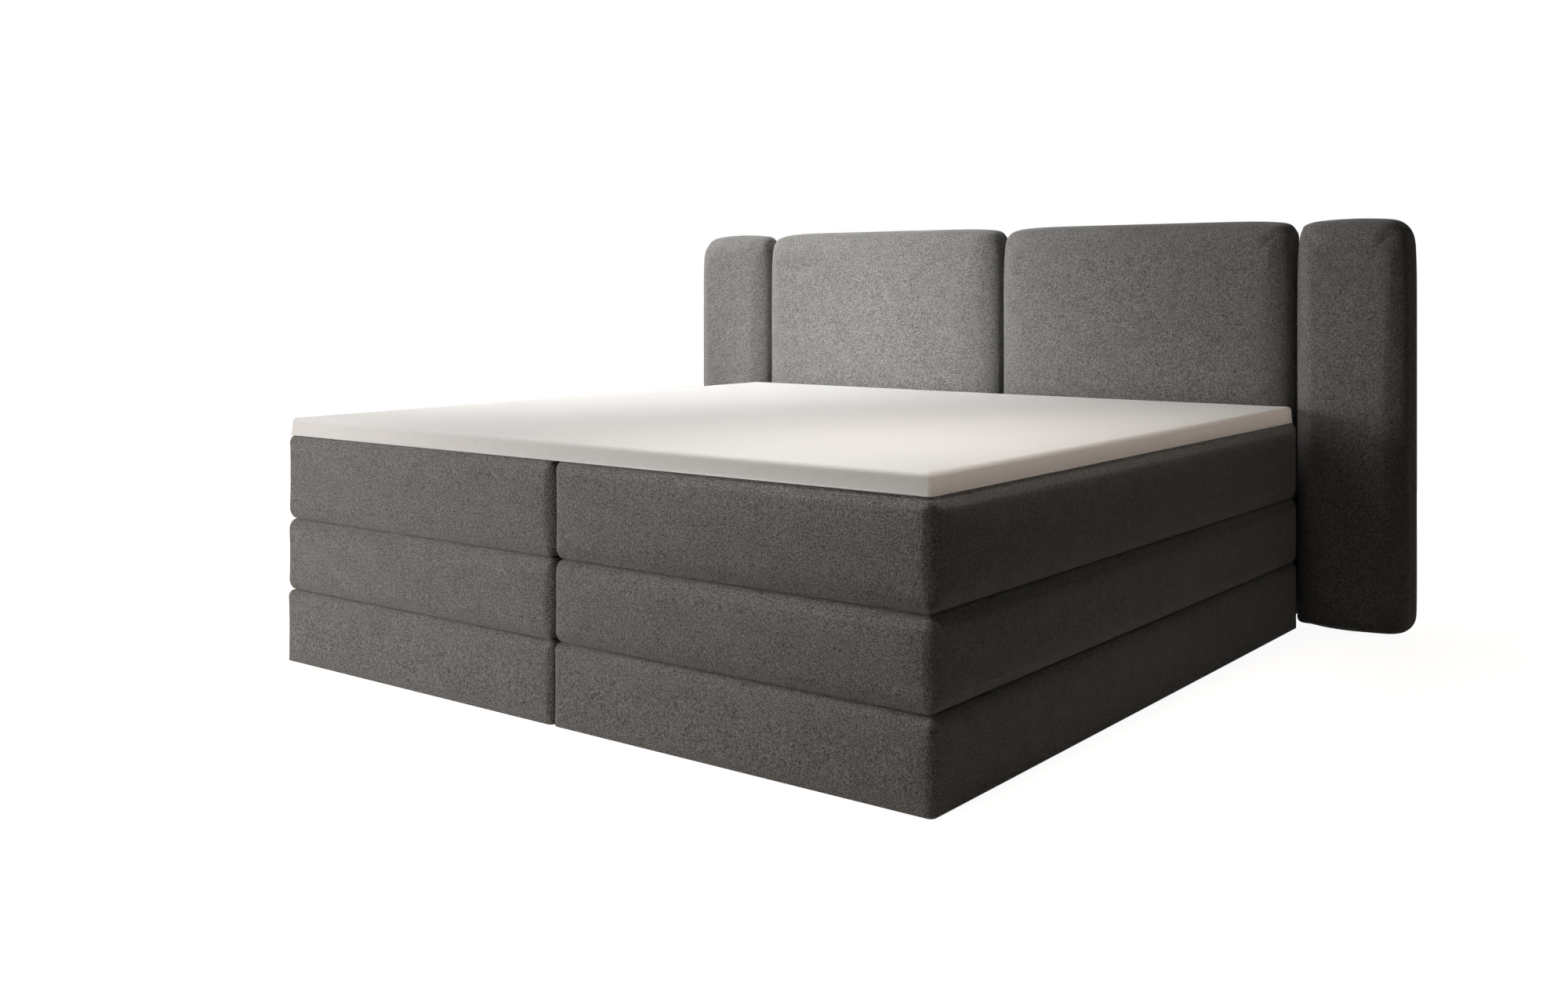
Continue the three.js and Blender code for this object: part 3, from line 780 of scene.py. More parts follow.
class NodeBoard(Nodes):
    """Lays out the nodes of one material, on the piece's own coordinates."""

    def __init__(self, name: str) -> None:
        """Starts a material with its shader.

        Args:
            name: The material's name.
        """
        self.material = bpy.data.materials.new(name)
        self.material.use_nodes = True
        super().__init__(self.material.node_tree)
        self.shader = self.tree.nodes["Principled BSDF"]
        self.place = self.node("ShaderNodeTexCoord", {}).outputs["Object"]

    def set(self, **values: object) -> None:
        """Sets constant values of the shader, by socket name with _ for a space."""
        for name, value in values.items():
            self.shader.inputs[name.replace("_", " ")].default_value = value

    def link(self, name: str, value: Socket) -> None:
        """Links a socket to an input of the shader."""
        self.tree.links.new(value, self.shader.inputs[name])

    def stretched(self, factors: Sequence[float]) -> Socket:
        """The piece's coordinates, multiplied along each axis."""
        return self.node("ShaderNodeMapping", {"Vector": self.place, "Scale": factors}).outputs[0]

    def grain(self, size: float, detail: float = 2, rough: float = 0.5,
              place: Socket | None = None) -> Socket:
        """Noise with features of about a size in metres."""
        inputs = {"Vector": place or self.place, "Scale": 1 / size, "Detail": detail,
                  "Roughness": rough}
        return self.node("ShaderNodeTexNoise", inputs).outputs["Fac"]

    def sum(self, first: Socket, second: Socket, share: float) -> Socket:
        """Adds a share of one value to another."""
        return self.math("ADD", first, self.math("MULTIPLY", second, share))

    def paint(self, pattern: Socket, span: tuple[float, float], colour: Colour,
              tones: tuple[float, float]) -> None:
        """Colours the surface from a dark to a light tone of one colour.

        Args:
            pattern: The value that the tones follow.
            span: The pattern's values at which both tones are reached.
            colour: The colour itself.
            tones: How bright the dark and the light tone are against it.
        """
        dark, light = (tuple(channel * tone for channel in colour) for tone in tones)
        self.link("Base Color", self.tint(self.span(pattern, *span), dark, light))

    def bump(self, height: Socket, depth: float, strength: float = 1) -> None:
        """Raises the surface by a height of at most a depth in metres."""
        inputs = {"Height": height, "Distance": depth, "Strength": strength}
        self.link("Normal", self.node("ShaderNodeBump", inputs).outputs[0])


@dataclass(frozen=True)
class Felt:
    """Brushed grey felt, mottled by its light and dark fibres."""

    colour: Colour = (0.192, 0.188, 0.183)
    mottle: float = 0.0039
    mottle_share: float = 0.7
    fibre: float = 0.0019
    cloud: float = 0.05
    cloud_share: float = 0.08
    contrast: float = 0.75
    spread: float = 0.19
    depth: float = 0.0014

    def material(self, name: str) -> Material:
        """Makes the material.

        Args:
            name: Its name.

        Returns:
            The material.
        """
        board = NodeBoard(name)
        mottle = board.grain(self.mottle, rough=0.6)
        fibre = board.grain(self.fibre, rough=0.6)
        nap = board.sum(fibre, mottle, self.mottle_share)
        both = board.sum(nap, board.grain(self.cloud), self.cloud_share)
        middle = 0.5 * (1 + self.mottle_share + self.cloud_share)
        board.paint(both, (middle - self.spread, middle + self.spread), self.colour,
                    (1 - self.contrast, 1 + self.contrast))
        board.set(Roughness=0.95, Sheen_Weight=0.25, Sheen_Roughness=0.45, Specular_IOR_Level=0.15)
        board.bump(nap, self.depth, 0.9)
        return board.material


@dataclass(frozen=True)
class Knit:
    """Fine white jersey over wadding."""

    colour: Colour = (0.80, 0.79, 0.782)
    tones: tuple[float, float] = (0.93, 1.0)
    rib: float = 0.0016
    rib_run: tuple[float, float, float] = (1, 0.45, 0.6)
    wadding: float = 0.018
    depth: float = 0.0006

    def material(self, name: str) -> Material:
        """Makes the material.

        Args:
            name: Its name.

        Returns:
            The material.
        """
        board = NodeBoard(name)
        rib = board.grain(self.rib, detail=1, place=board.stretched(self.rib_run))
        wadding = board.grain(self.wadding, detail=3, rough=0.55)
        board.paint(board.sum(rib, wadding, 0.6), (0.55, 1.05), self.colour, self.tones)
        board.set(Roughness=0.88, Sheen_Weight=0.15, Sheen_Roughness=0.5, Specular_IOR_Level=0.2)
        board.bump(board.sum(rib, wadding, 1.6), self.depth, 0.6)
        return board.material


@dataclass(frozen=True)
class Chipboard:
    """Pressed wood chips, in layers seen on the edges."""

    colour: Colour = (0.42, 0.29, 0.165)
    tones: tuple[float, float] = (0.5, 1.35)
    chips: float = 260.0
    layers: tuple[float, float, float] = (1, 1, 2.2)
    dust: float = 0.0025
    depth: float = 0.0005

    def material(self, name: str) -> Material:
        """Makes the material.

        Args:
            name: Its name.

        Returns:
            The material.
        """
        board = NodeBoard(name)
        inputs = {"Vector": board.stretched(self.layers), "Scale": self.chips, "Randomness": 1.0}
        chips = board.node("ShaderNodeTexVoronoi", inputs)
        dust = board.grain(self.dust, detail=3, rough=0.7)
        shade = board.node("ShaderNodeSeparateColor", {0: chips.outputs["Color"]}).outputs[0]
        board.paint(board.sum(shade, dust, 0.7), (0.2, 1.4), self.colour, self.tones)
        board.set(Roughness=0.75, Specular_IOR_Level=0.3)
        board.bump(board.sum(chips.outputs["Distance"], dust, 0.5), self.depth, 0.5)
        return board.material


@dataclass(frozen=True)
class Pine:
    """Planed pine with rings along its length.

    Rings and pores are drawn out by their first factor along the grain, and by their second
    across it.
    """

    along: int = 0
    colour: Colour = (0.60, 0.40, 0.20)
    tones: tuple[float, float] = (0.62, 1.18)
    rings: tuple[float, float] = (1.3, 22.0)
    pores: tuple[float, float] = (18.0, 900.0)
    depth: float = 0.0003

    def _drawn_out(self, board: NodeBoard, factors: tuple[float, float]) -> Socket:
        """The piece's coordinates, multiplied along and across the grain."""
        return board.stretched([factors[axis != self.along] for axis in range(3)])

    def material(self, name: str) -> Material:
        """Makes the material.

        Args:
            name: Its name.

        Returns:
            The material.
        """
        board = NodeBoard(name)
        inputs = {"Vector": self._drawn_out(board, self.rings), "Scale": 1.6, "Detail": 3.0,
                  "Distortion": 1.2}
        rings = board.node("ShaderNodeTexNoise", inputs).outputs["Fac"]
        inputs = {"Vector": self._drawn_out(board, self.pores), "Scale": 1.0}
        pores = board.node("ShaderNodeTexNoise", inputs).outputs["Fac"]
        waves = board.math("PINGPONG", board.math("MULTIPLY", rings, 9.0), 1.0)
        board.paint(board.sum(waves, pores, 0.5), (0.15, 1.25), self.colour, self.tones)
        board.set(Roughness=0.55, Specular_IOR_Level=0.4)
        board.bump(pores, self.depth, 0.4)
        return board.material


@dataclass(frozen=True)
class Metal:
    """Steel: powder coated, ground bright or zinc plated."""

    colour: Colour
    metallic: float
    rough: float
    pit: float
    depth: float
    smear: float = 0.03
    tones: tuple[float, float] = (0.82, 1.12)

    def material(self, name: str) -> Material:
        """Makes the material.

        Args:
            name: Its name.

        Returns:
            The material.
        """
        board = NodeBoard(name)
        speck = board.grain(self.pit, rough=0.6)
        smear = board.grain(self.smear, detail=3)
        board.paint(board.sum(speck, smear, 0.8), (0.5, 1.3), self.colour, self.tones)
        board.link("Roughness", board.span(smear, 0.3, 0.7, self.rough * 0.8, self.rough * 1.25))
        board.set(Metallic=self.metallic)
        board.bump(speck, self.depth, 0.5)
        return board.material


@dataclass(frozen=True)
class Foam:
    """Cut foam or fleece with open cells."""

    colour: Colour
    cell: float
    cloud: float = 0.02
    tones: tuple[float, float] = (0.8, 1.0)

    def material(self, name: str) -> Material:
        """Makes the material.

        Args:
            name: Its name.

        Returns:
            The material.
        """
        board = NodeBoard(name)
        inputs = {"Vector": board.place, "Scale": 1 / self.cell}
        cells = board.node("ShaderNodeTexVoronoi", inputs).outputs["Distance"]
        cloud = board.grain(self.cloud, detail=3)
        board.paint(board.sum(cells, cloud, 0.8), (0.3, 1.2), self.colour, self.tones)
        board.set(Roughness=0.95, Sheen_Weight=0.1, Sheen_Roughness=0.5, Specular_IOR_Level=0.1)
        board.bump(cells, self.cell * 0.6, 0.6)
        return board.material


class Finishes:
    """All finishes of the bed, each made once."""

    def __init__(self) -> None:
        """Makes the materials."""
        self.felt = Felt().material("felt")
        self.knit = Knit().material("knit")
        self.chipboard = Chipboard().material("chipboard")
        self.pine_along = Pine(along=1).material("pine_along")
        self.pine_across = Pine(along=0).material("pine_across")
        self.black = Metal((0.018, 0.018, 0.019), 0.0, 0.45, 0.0012, 0.0001).material("black_coat")
        self.bright = Metal((0.72, 0.72, 0.74), 1.0, 0.12, 0.0008, 2e-5).material("bright_steel")
        self.zinc = Metal((0.58, 0.58, 0.56), 1.0, 0.35, 0.004, 3e-5).material("zinc_plate")
        self.foam = Foam((0.62, 0.57, 0.42), 0.0016).material("cut_foam")
        self.fleece = Foam((0.62, 0.62, 0.60), 0.0011).material("fleece")


@dataclass(frozen=True)
class Tier:
    """One upholstered block of a half: its heights and its round edges.

    Its upper and lower edges are ``top`` and ``foot`` deep and ``rise`` times as high.
    ``travel`` is how far its cover may fill out.
    """

    kind: str
    low: float
    high: float
    corner: float
    top: float
    foot: float
    rise: float
    travel: float


@dataclass
class Tiers:
    """The three upholstered blocks of each half, one above the other."""

    finishes: Finishes
    seam: float = 0.001
    edge: float = 1.0
    foot: float = -1.068
    head: float = 0.932
    wall: float = 0.026
    mouth: float = 0.0445
    storage: Tier = Tier("storage_cover", 0.001, 0.187, 0.015, 0.014, 0.004, 1.14, 0.003)
    base: Tier = Tier("base_cover", 0.188, 0.3745, 0.020, 0.019, 0.019, 1.6, 0.005)
    mattress: Tier = Tier("mattress_cover", 0.375, 0.594, 0.021, 0.014, 0.020, 1.6, 0.005)
    board_top: float = 0.183
    base_ceiling: float = 0.3625
    storage_cut: float = -0.05
    mouth_cut: tuple[float, float] = (0.1, 0.25)
    base_cut: float = 0.1
    mattress_wall: float = 0.012
    hold: float = 0.002
    fill: float = 0.9

    def block(self, tier: Tier) -> Padding:
        """Describes one block of the right half.

        Args:
            tier: The block's heights and edges.

        Returns:
            The padding.
        """
        def edge_width(along: int, place: Vector) -> float:
            """Width of the rounding of an edge."""
            rim = tier.top if place.z > 0 else tier.foot
            return tier.corner if along == 2 else rim

        def held(place: Vector) -> bool:
            """Tells whether a point of the cover is held by what it lies against."""
            flat = place.z < tier.low + self.hold or place.z > tier.high - self.hold
            return flat or abs(place.x) < self.seam + self.hold

        return Padding(Vector((self.seam, self.foot, tier.low)),
                       Vector((self.edge, self.head, tier.high)),
                       edge_width, rise=tier.rise, travel=tier.travel, held=held)

    def build(self) -> None:
        """Builds the three blocks once, cuts their spaces and lays one of each on each half."""
        inside = (self.seam + self.wall, self.edge - self.wall)
        mouth = (self.mouth, self.edge - self.mouth + self.seam)
        cover = self.block(self.storage).filled("cover")
        self._cut(cover, inside, self.wall, self.storage_cut, self.board_top)
        self._cut(cover, mouth, self.mouth, *self.mouth_cut)
        self._join(self.storage, cover, "bed_base")
        cover = self.block(self.base).filled("cover")
        self._cut(cover, inside, self.wall, self.base_cut, self.base_ceiling)
        self._join(self.base, cover, "{side}_lift_unit")
        mattress = self.block(self.mattress)
        cover = mattress.filled("cover")
        Bench.cut_with(cover, mattress.core("cutter", self.mattress_wall))
        middle = (mattress.low + mattress.high) / 2
        middle.y = self.head
        zips = Zip(self.finishes, middle, self.mattress_wall)
        zips.open(cover)
        zips.lay("right_mattress_zip", "right_mattress", 0)
        zips.lay("left_mattress_zip", "left_mattress", -2 * middle.x)
        self._join(self.mattress, cover, "{side}_mattress")

    def _cut(self, cover: Object, span: tuple[float, float], inset: float, low: float,
             high: float) -> None:
        """Cuts the space for the boards or the mouth out of a cover.

        Args:
            cover: The right half's cover.
            span: The space's lowest and highest X.
            inset: How far it stays inside the cover's ends.
            low: Its lowest Z.
            high: Its highest Z.
        """
        Bench.cut(cover, (span[0], self.foot + inset, low), (span[1], self.head - inset, high))

    def _join(self, tier: Tier, cover: Object, body: str) -> None:
        """Joins a cover and its mirror image.

        Args:
            tier: What the cover is of.
            cover: The right half's cover.
            body: The body that it rides on, with {side}.
        """
        nodes = ("{side}_" + tier.kind,)
        piece = Piece(cover, body, Slot.FELT, self.finishes.felt, nodes, self.fill)
        self.block(tier).join_both(piece, "{side}_" + tier.kind + "_felt", len(tier.kind))


@dataclass
class Topper:
    """The white topper that ties both halves."""

    finishes: Finishes
    half_width: float = 0.9935
    foot: float = -1.0634
    head: float = 0.919
    low: float = 0.5945
    high: float = 0.641
    corner: float = 0.013
    top_edge: float = 0.010
    foot_edge: float = 0.004
    rise: float = 1.1
    crown: float = 0.004
    unevenness: float = 0.00025
    hold: float = 0.002
    wall: float = 0.006
    room: float = 0.0005

    def build(self) -> None:
        """Builds the topper's cover over its core."""
        def edge_width(along: int, place: Vector) -> float:
            """Width of the rounding of an edge."""
            rim = self.top_edge if place.z > 0 else self.foot_edge
            return self.corner if along == 2 else rim

        padding = Padding(Vector((-self.half_width, self.foot, self.low)),
                          Vector((self.half_width, self.head, self.high)),
                          edge_width, rise=self.rise, travel=self.crown, segments=5,
                          held=lambda place: place.z < self.low + self.hold,
                          unevenness=self.unevenness)
        cover = padding.filled("topper_cover_knit")
        padding.laid_unevenly(cover, 5)
        Bench.cut_with(cover, padding.core("cutter", self.wall))
        zips = Zip(self.finishes, Vector((0, self.head, (self.low + self.high) / 2)), self.wall)
        zips.open(cover)
        zips.lay("topper_zip", "topper", 0)
        Bench.smooth(cover)
        Piece(cover, "topper", Slot.KNIT, self.finishes.knit, ("topper_cover",), 0.8).join()
        core = padding.core("topper_foam", self.wall + self.room)
        Bench.smooth(core)
        Piece(core, "topper", Slot.FOAM, self.finishes.foam, ("topper_core",), 1.0).join()


@dataclass(frozen=True)
class Panels:
    """Where the headboard's panels stand: the right half's spans along X, and their heights."""

    inner: tuple[float, float] = (0.001, 0.971)
    outer: tuple[float, float] = (0.973, 1.301)
    foot: float = 0.003
    top: float = 1.180


@dataclass
class Headboard:
    """Four padded panels on boards, tied by two rails behind.

    The wadding sinks toward a panel's corners: by ``slump``, most at ``slump_reach`` from the
    next edge, and out to ``slump_span`` from the corner.
    """

    finishes: Finishes
    panels: Panels = Panels()
    front: float = 0.947
    back: float = 1.043
    held_depth: float = 0.03
    board_front: float = 1.027
    board_inset: float = 0.006
    crest: float = 0.0055
    felt_foot: float = 0.001
    corner: float = 0.050
    outer_corner: float = 0.068
    slump: float = 0.0095
    slump_reach: float = 0.030
    slump_span: float = 0.16
    back_loss: float = 0.4
    back_start: float = 1.0
    foot_slump: float = 0.2

    def panel(self, span: tuple[float, float], far_corner: float) -> Padding:
        """Describes one panel of the right half.

        Args:
            span: Its lowest and highest X.
            far_corner: Radius of its corners away from the middle.

        Returns:
            The padding.
        """
        return PanelPadding(Vector((span[0], self.front, self.felt_foot)),
                            Vector((span[1], self.back, self.panels.top + self.crest)),
                            segments=8, mesh_size=0.030, travel=0.005,
                            held=lambda place: place.y > self.back - self.held_depth,
                            corner=self.corner, far_corner=far_corner)

    def build(self) -> None:
        """Builds an inner and an outer panel and lays them on both halves."""
        for kind, span, far in (("inner", self.panels.inner, self.corner),
                                ("outer", self.panels.outer, self.outer_corner)):
            padding = self.panel(span, far)
            pad = padding.filled("pad")
            self._slump_corners(pad, span)
            self._cut_recess(pad, span, far)
            name = "headboard_{side}_" + kind
            piece = Piece(pad, "bed_base", Slot.FELT, self.finishes.felt, (f"{name}_pad",), 1.0)
            padding.join_both(piece, f"{name}_felt", len(kind) + 11)

    def _slump_corners(self, pad: Object, span: tuple[float, float]) -> None:
        """Lets the wadding sink towards a panel's four corners, as a stuffed panel does.

        Args:
            pad: The filled panel.
            span: Its lowest and highest X.
        """
        def sink(distance: float) -> float:
            """How far the outline sinks at a distance from the next edge."""
            share = max(distance, 0.0) / self.slump_reach
            return self.slump * share * math.exp(1 - share)

        foot, top = self.panels.foot, self.panels.top
        middle = Vector(((span[0] + span[1]) / 2, 0, (foot + top) / 2))
        half = Vector(((span[1] - span[0]) / 2, 0, (top - foot) / 2))
        for vertex in pad.data.vertices:
            place = vertex.co - middle
            side, up = half.x - abs(place.x), half.z - abs(place.z)
            toward_back = (place.y - self.back_start) / (self.back - self.back_start)
            front = 1 - self.back_loss * min(max(toward_back, 0), 1)
            near_side = max(0.0, 1 - side / self.slump_span) ** 2
            near_up = max(0.0, 1 - up / self.slump_span) ** 2
            share = front * (1.0 if place.z > 0 else self.foot_slump)
            vertex.co.z -= math.copysign(sink(side) * near_up * share, place.z)
            vertex.co.x -= math.copysign(sink(up) * near_side * share, place.x)

    def _cut_recess(self, pad: Object, span: tuple[float, float], far: float) -> None:
        """Cuts the board's recess into a pad's back.

        Args:
            pad: The filled panel.
            span: Its lowest and highest X.
            far: Radius of its corners away from the middle.
        """
        inset = self.board_inset
        tool = Bench.block("cutter", (span[0] + inset, self.board_front, self.panels.foot + inset),
                           (span[1] - inset, self.back + 0.05, self.panels.top - inset))
        Bench.round_corners(tool, 1, self.corner - inset, far - inset, 8)
        Bench.cut_with(pad, tool)


@dataclass(frozen=True)
class ZipBit:
    """One bit of a zip: its spans along it and outward, half its height and its round edges."""

    along: tuple[float, float]
    out: tuple[float, float]
    half: float
    eased: float
    steps: int = 2


@dataclass
class Zip:
    """A short zip in the head end of a cover: its slot, tape, coil and slider.

    The first tooth is placed from one end of the tape, and slider and pull from the other.
    """

    finishes: Finishes
    middle: Vector
    wall: float
    length: float = 0.240
    height: float = 0.003
    pitch: float = 0.0024
    sunk: float = 0.006
    room: tuple[float, float] = (0.0005, 0.0002)
    tape: float = 0.001
    tooth: ZipBit = ZipBit((0.002, 0.0034), (0, 0.0009), 0.0009, 0.0003, 1)
    slider: ZipBit = ZipBit((-0.016, -0.008), (0.001, 0.0026), 0.0012, 0.0005)
    pull: ZipBit = ZipBit((-0.027, -0.011), (0.0028, 0.0036), 0.0010, 0.0003)

    def open(self, cover: Object) -> None:
        """Cuts the zip's slot through the cover's wall."""
        half = Vector((self.length / 2, 0, self.height / 2))
        Bench.cut(cover, self.middle - half - Vector((0, self.wall + 0.002, 0)),
                  self.middle + half + Vector((0, 0.03, 0)))

    def lay(self, name: str, body: str, shift: float) -> None:
        """Lays the closed zip into its slot.

        Args:
            name: The piece's name.
            body: The body that it rides on.
            shift: How far it lies along X from the slot's own place.
        """
        run, rise = self.length / 2 - self.room[0], self.height / 2 - self.room[1]
        tape = self._bit(name, ZipBit((-run, run), (-self.tape, 0), rise, 0.0002, 1), 0)
        tooth = self._bit("tooth", self.tooth, -run)
        Bench.repeat(tooth, int(2 * run / self.pitch) - 2, (self.pitch, 0, 0))
        slider = self._bit("slider", self.slider, run)
        pull = self._bit("pull", self.pull, run)
        Bench.gather(tape, tooth, slider, pull)
        tape.location.x = shift
        bpy.ops.object.transform_apply()
        Bench.smooth(tape)
        Piece(tape, body, Slot.BLACK, self.finishes.black).join()

    def _bit(self, name: str, bit: ZipBit, place: float) -> Object:
        """Builds one bit of the zip with its edges eased.

        Args:
            name: Its name.
            bit: Its sizes.
            place: Where it is placed from, along the zip from its middle.

        Returns:
            The bit.
        """
        low, high = (Vector((place + along, out - self.sunk, rise)) for along, out, rise
                     in zip(bit.along, bit.out, (-bit.half, bit.half)))
        thing = Bench.block(name, self.middle + low, self.middle + high)
        Bench.ease(thing, bit.eased, bit.steps)
        return thing


@dataclass
class Springs:
    """Rows of pocket springs, each in its own fleece."""

    low: Vector
    high: Vector
    across: int = 14
    along: int = 29
    shoulder: float = 0.009
    bulge: float = 1.03
    room: float = 0.0006
    sides: int = 12

    def build(self, name: str) -> Object:
        """Builds one pocket and repeats it over the plan.

        Args:
            name: The piece's name.

        Returns:
            The rows of pockets as one object.
        """
        size = self.high - self.low
        step = Vector((size.x / self.across, size.y / self.along, 0))
        radius = (min(step.x, step.y) / 2 - self.room) / self.bulge
        first = self.low + step / 2
        pocket = Bench.rod(name, radius, first, first + Vector((0, 0, size.z)), self.sides)
        Bench.ease(pocket, self.shoulder, 1)
        waist = (self.low.z + self.high.z) / 2
        with Bench.shaping(pocket):
            bpy.ops.mesh.bisect(plane_co=(0, 0, waist), plane_no=(0, 0, 1))
        for vertex in pocket.data.vertices:
            if abs(vertex.co.z - waist) < 0.001:
                vertex.co.xy = first.xy + (vertex.co.xy - first.xy) * self.bulge
        Bench.repeat(pocket, self.across, (step.x, 0, 0))
        Bench.repeat(pocket, self.along, (0, step.y, 0))
        Bench.smooth(pocket, 50)
        return pocket


@dataclass
class Fillings:
    """What fills the mattresses: a slab of foam below and above their pocket springs."""

    finishes: Finishes
    low: tuple[float, float, float] = (0.0135, -1.0555, 0.3875)
    high: tuple[float, float, float] = (0.9875, 0.9195, 0.5815)
    slab: float = 0.032
    inset: float = 0.014
    corner: float = 0.014
    skin: float = 0.008
    cut_edge: float = 0.002

    def build(self) -> None:
        """Builds the filling of the right mattress and lays it in both."""
        aside = Vector((self.inset, self.inset, self.slab))
        rows = Springs(Vector(self.low) + aside, Vector(self.high) - aside).build("rows")
        parts = (("lower_foam", self._slab(self.low[2], -1), Slot.FOAM, self.finishes.foam),
                 ("pocket_springs", rows, Slot.FLEECE, self.finishes.fleece),
                 ("upper_foam", self._slab(self.high[2] - self.slab, 1), Slot.FOAM,
                  self.finishes.foam))
        for name, thing, slot, material in parts:
            piece = Piece(thing, "{side}_mattress", slot, material, ("{side}_mattress_core",), 1.0)
            piece.join_both("{side}_mattress_" + name, 50)

    def _slab(self, foot: float, out: int) -> Object:
        """Builds a slab of foam whose outer edges are rounded more.

        Args:
            foot: The height that it starts at.
            out: -1 where its lower edges are the outer ones, 1 for its upper ones.

        Returns:
            The slab.
        """
        slab = Bench.block("slab", (*self.low[:2], foot), (*self.high[:2], foot + self.slab))

        def width(along: int, place: Vector) -> float:
            """Width of the rounding of an edge."""
            rim = self.skin if place.z * out > 0 else self.cut_edge
            return self.corner if along == 2 else rim

        Bench.round_edges(slab, width, 4)
        return slab


@dataclass
class SpringBase:
    """The wooden frame of each spring base, its slats and the springs that they carry."""

    finishes: Finishes
    side: tuple[float, float] = (0.0275, 0.9735)
    run: tuple[float, float] = (-1.0415, 0.9055)
    rise: tuple[float, float] = (0.188, 0.362)
    board: float = 0.018
    slats: int = 9
    slat: tuple[float, float] = (0.090, 0.016)
    slat_foot: float = 0.237
    slat_edges: tuple[float, float] = (0.005, 0.001)
    room: float = 0.0005
    eased: float = 0.002

    def build(self) -> None:
        """Builds the right base once and lays it in both."""
        low, high = self.side
        start, end = self.run
        between = (low + self.board, high - self.board)
        long_rails = self._rails(((low, between[0]), self.run), ((between[1], high), self.run))
        end_rails = self._rails((between, (start, start + self.board)),
                                (between, (end - self.board, end)))
        along, across = self.finishes.pine_along, self.finishes.pine_across
        parts = (("long_rails", long_rails, Slot.PINE, along, "frame", None),
                 ("end_rails", end_rails, Slot.PINE, across, "frame", None),
                 ("slats", self._slats(between), Slot.PINE, across, "frame", None),
                 ("pockets", self._springs(), Slot.FLEECE, self.finishes.fleece, "springs", 0.9))
        for name, thing, slot, material, node, fill in parts:
            nodes = ("{side}_base_" + node,)
            piece = Piece(thing, "{side}_lift_unit", slot, material, nodes, fill)
            piece.join_both("{side}_base_" + name, 50)

    def _rails(self, *spans: tuple[tuple[float, float], tuple[float, float]]) -> Object:
        """Builds planed boards as high as the frame, with their edges eased.

        Args:
            spans: Each board's span along X and along Y.

        Returns:
            The boards as one object.
        """
        foot, top = self.rise
        boards = [Bench.block("board", (x[0], y[0], foot), (x[1], y[1], top)) for x, y in spans]
        for board in boards:
            Bench.ease(board, self.eased)
        return Bench.gather(*boards)

    def _slats(self, between: tuple[float, float]) -> Object:
        """Builds one slat with round long edges and repeats it along the frame.

        Args:
            between: The span along X between the long rails.

        Returns:
            The slats as one object.
        """
        wide, thick = self.slat
        first = self.run[0] + self.board
        last = self.run[1] - self.board - wide
        slat = Bench.block("slat", (between[0], first, self.slat_foot),
                           (between[1], first + wide, self.slat_foot + thick))
        Bench.round_edges(slat, lambda along, place: self.slat_edges[along != 0], 3, axis=0)
        Bench.repeat(slat, self.slats, (0, (last - first) / (self.slats - 1), 0))
        return slat

    def _springs(self) -> Object:
        """Builds the rows of pocket springs on the slats.

        Returns:
            The rows as one object.
        """
        inset = self.board + self.room
        low = Vector((self.side[0] + inset, self.run[0] + inset,
                      self.slat_foot + self.slat[1] + self.room))
        high = Vector((self.side[1] - inset, self.run[1] - inset, self.rise[1]))
        return Springs(low, high).build("pockets")


@dataclass(frozen=True)
class CrossScrew:
    """A countersunk screw's head with its cross recess, just proud of what it holds."""

    radius: float
    sides: int
    proud: float
    cross: tuple[float, float]
    recess: float
    sunk: float = 0.001

    def head(self, place: Vector, out: Vector) -> Object:
        """Builds the head.

        Args:
            place: Its middle, in the surface of what it holds.
            out: The way that it faces, along X or Y.

        Returns:
            The head.
        """
        head = Bench.rod("screw", self.radius, place - out * self.sunk, place + out * self.proud,
                         self.sides)
        Bench.ease(head, 0.0002, 1)
        side, up = Vector((abs(out.y), abs(out.x), 0)), Vector((0, 0, 1))
        for wide, high in (self.cross, self.cross[::-1]):
            reach = side * wide + up * high
            ends = (place - out * self.recess, place + out * (self.recess + self.sunk))
            low, top = (Vector(map(pick, *ends)) for pick in (min, max))
            Bench.cut(head, low - reach, top + reach)
        return head


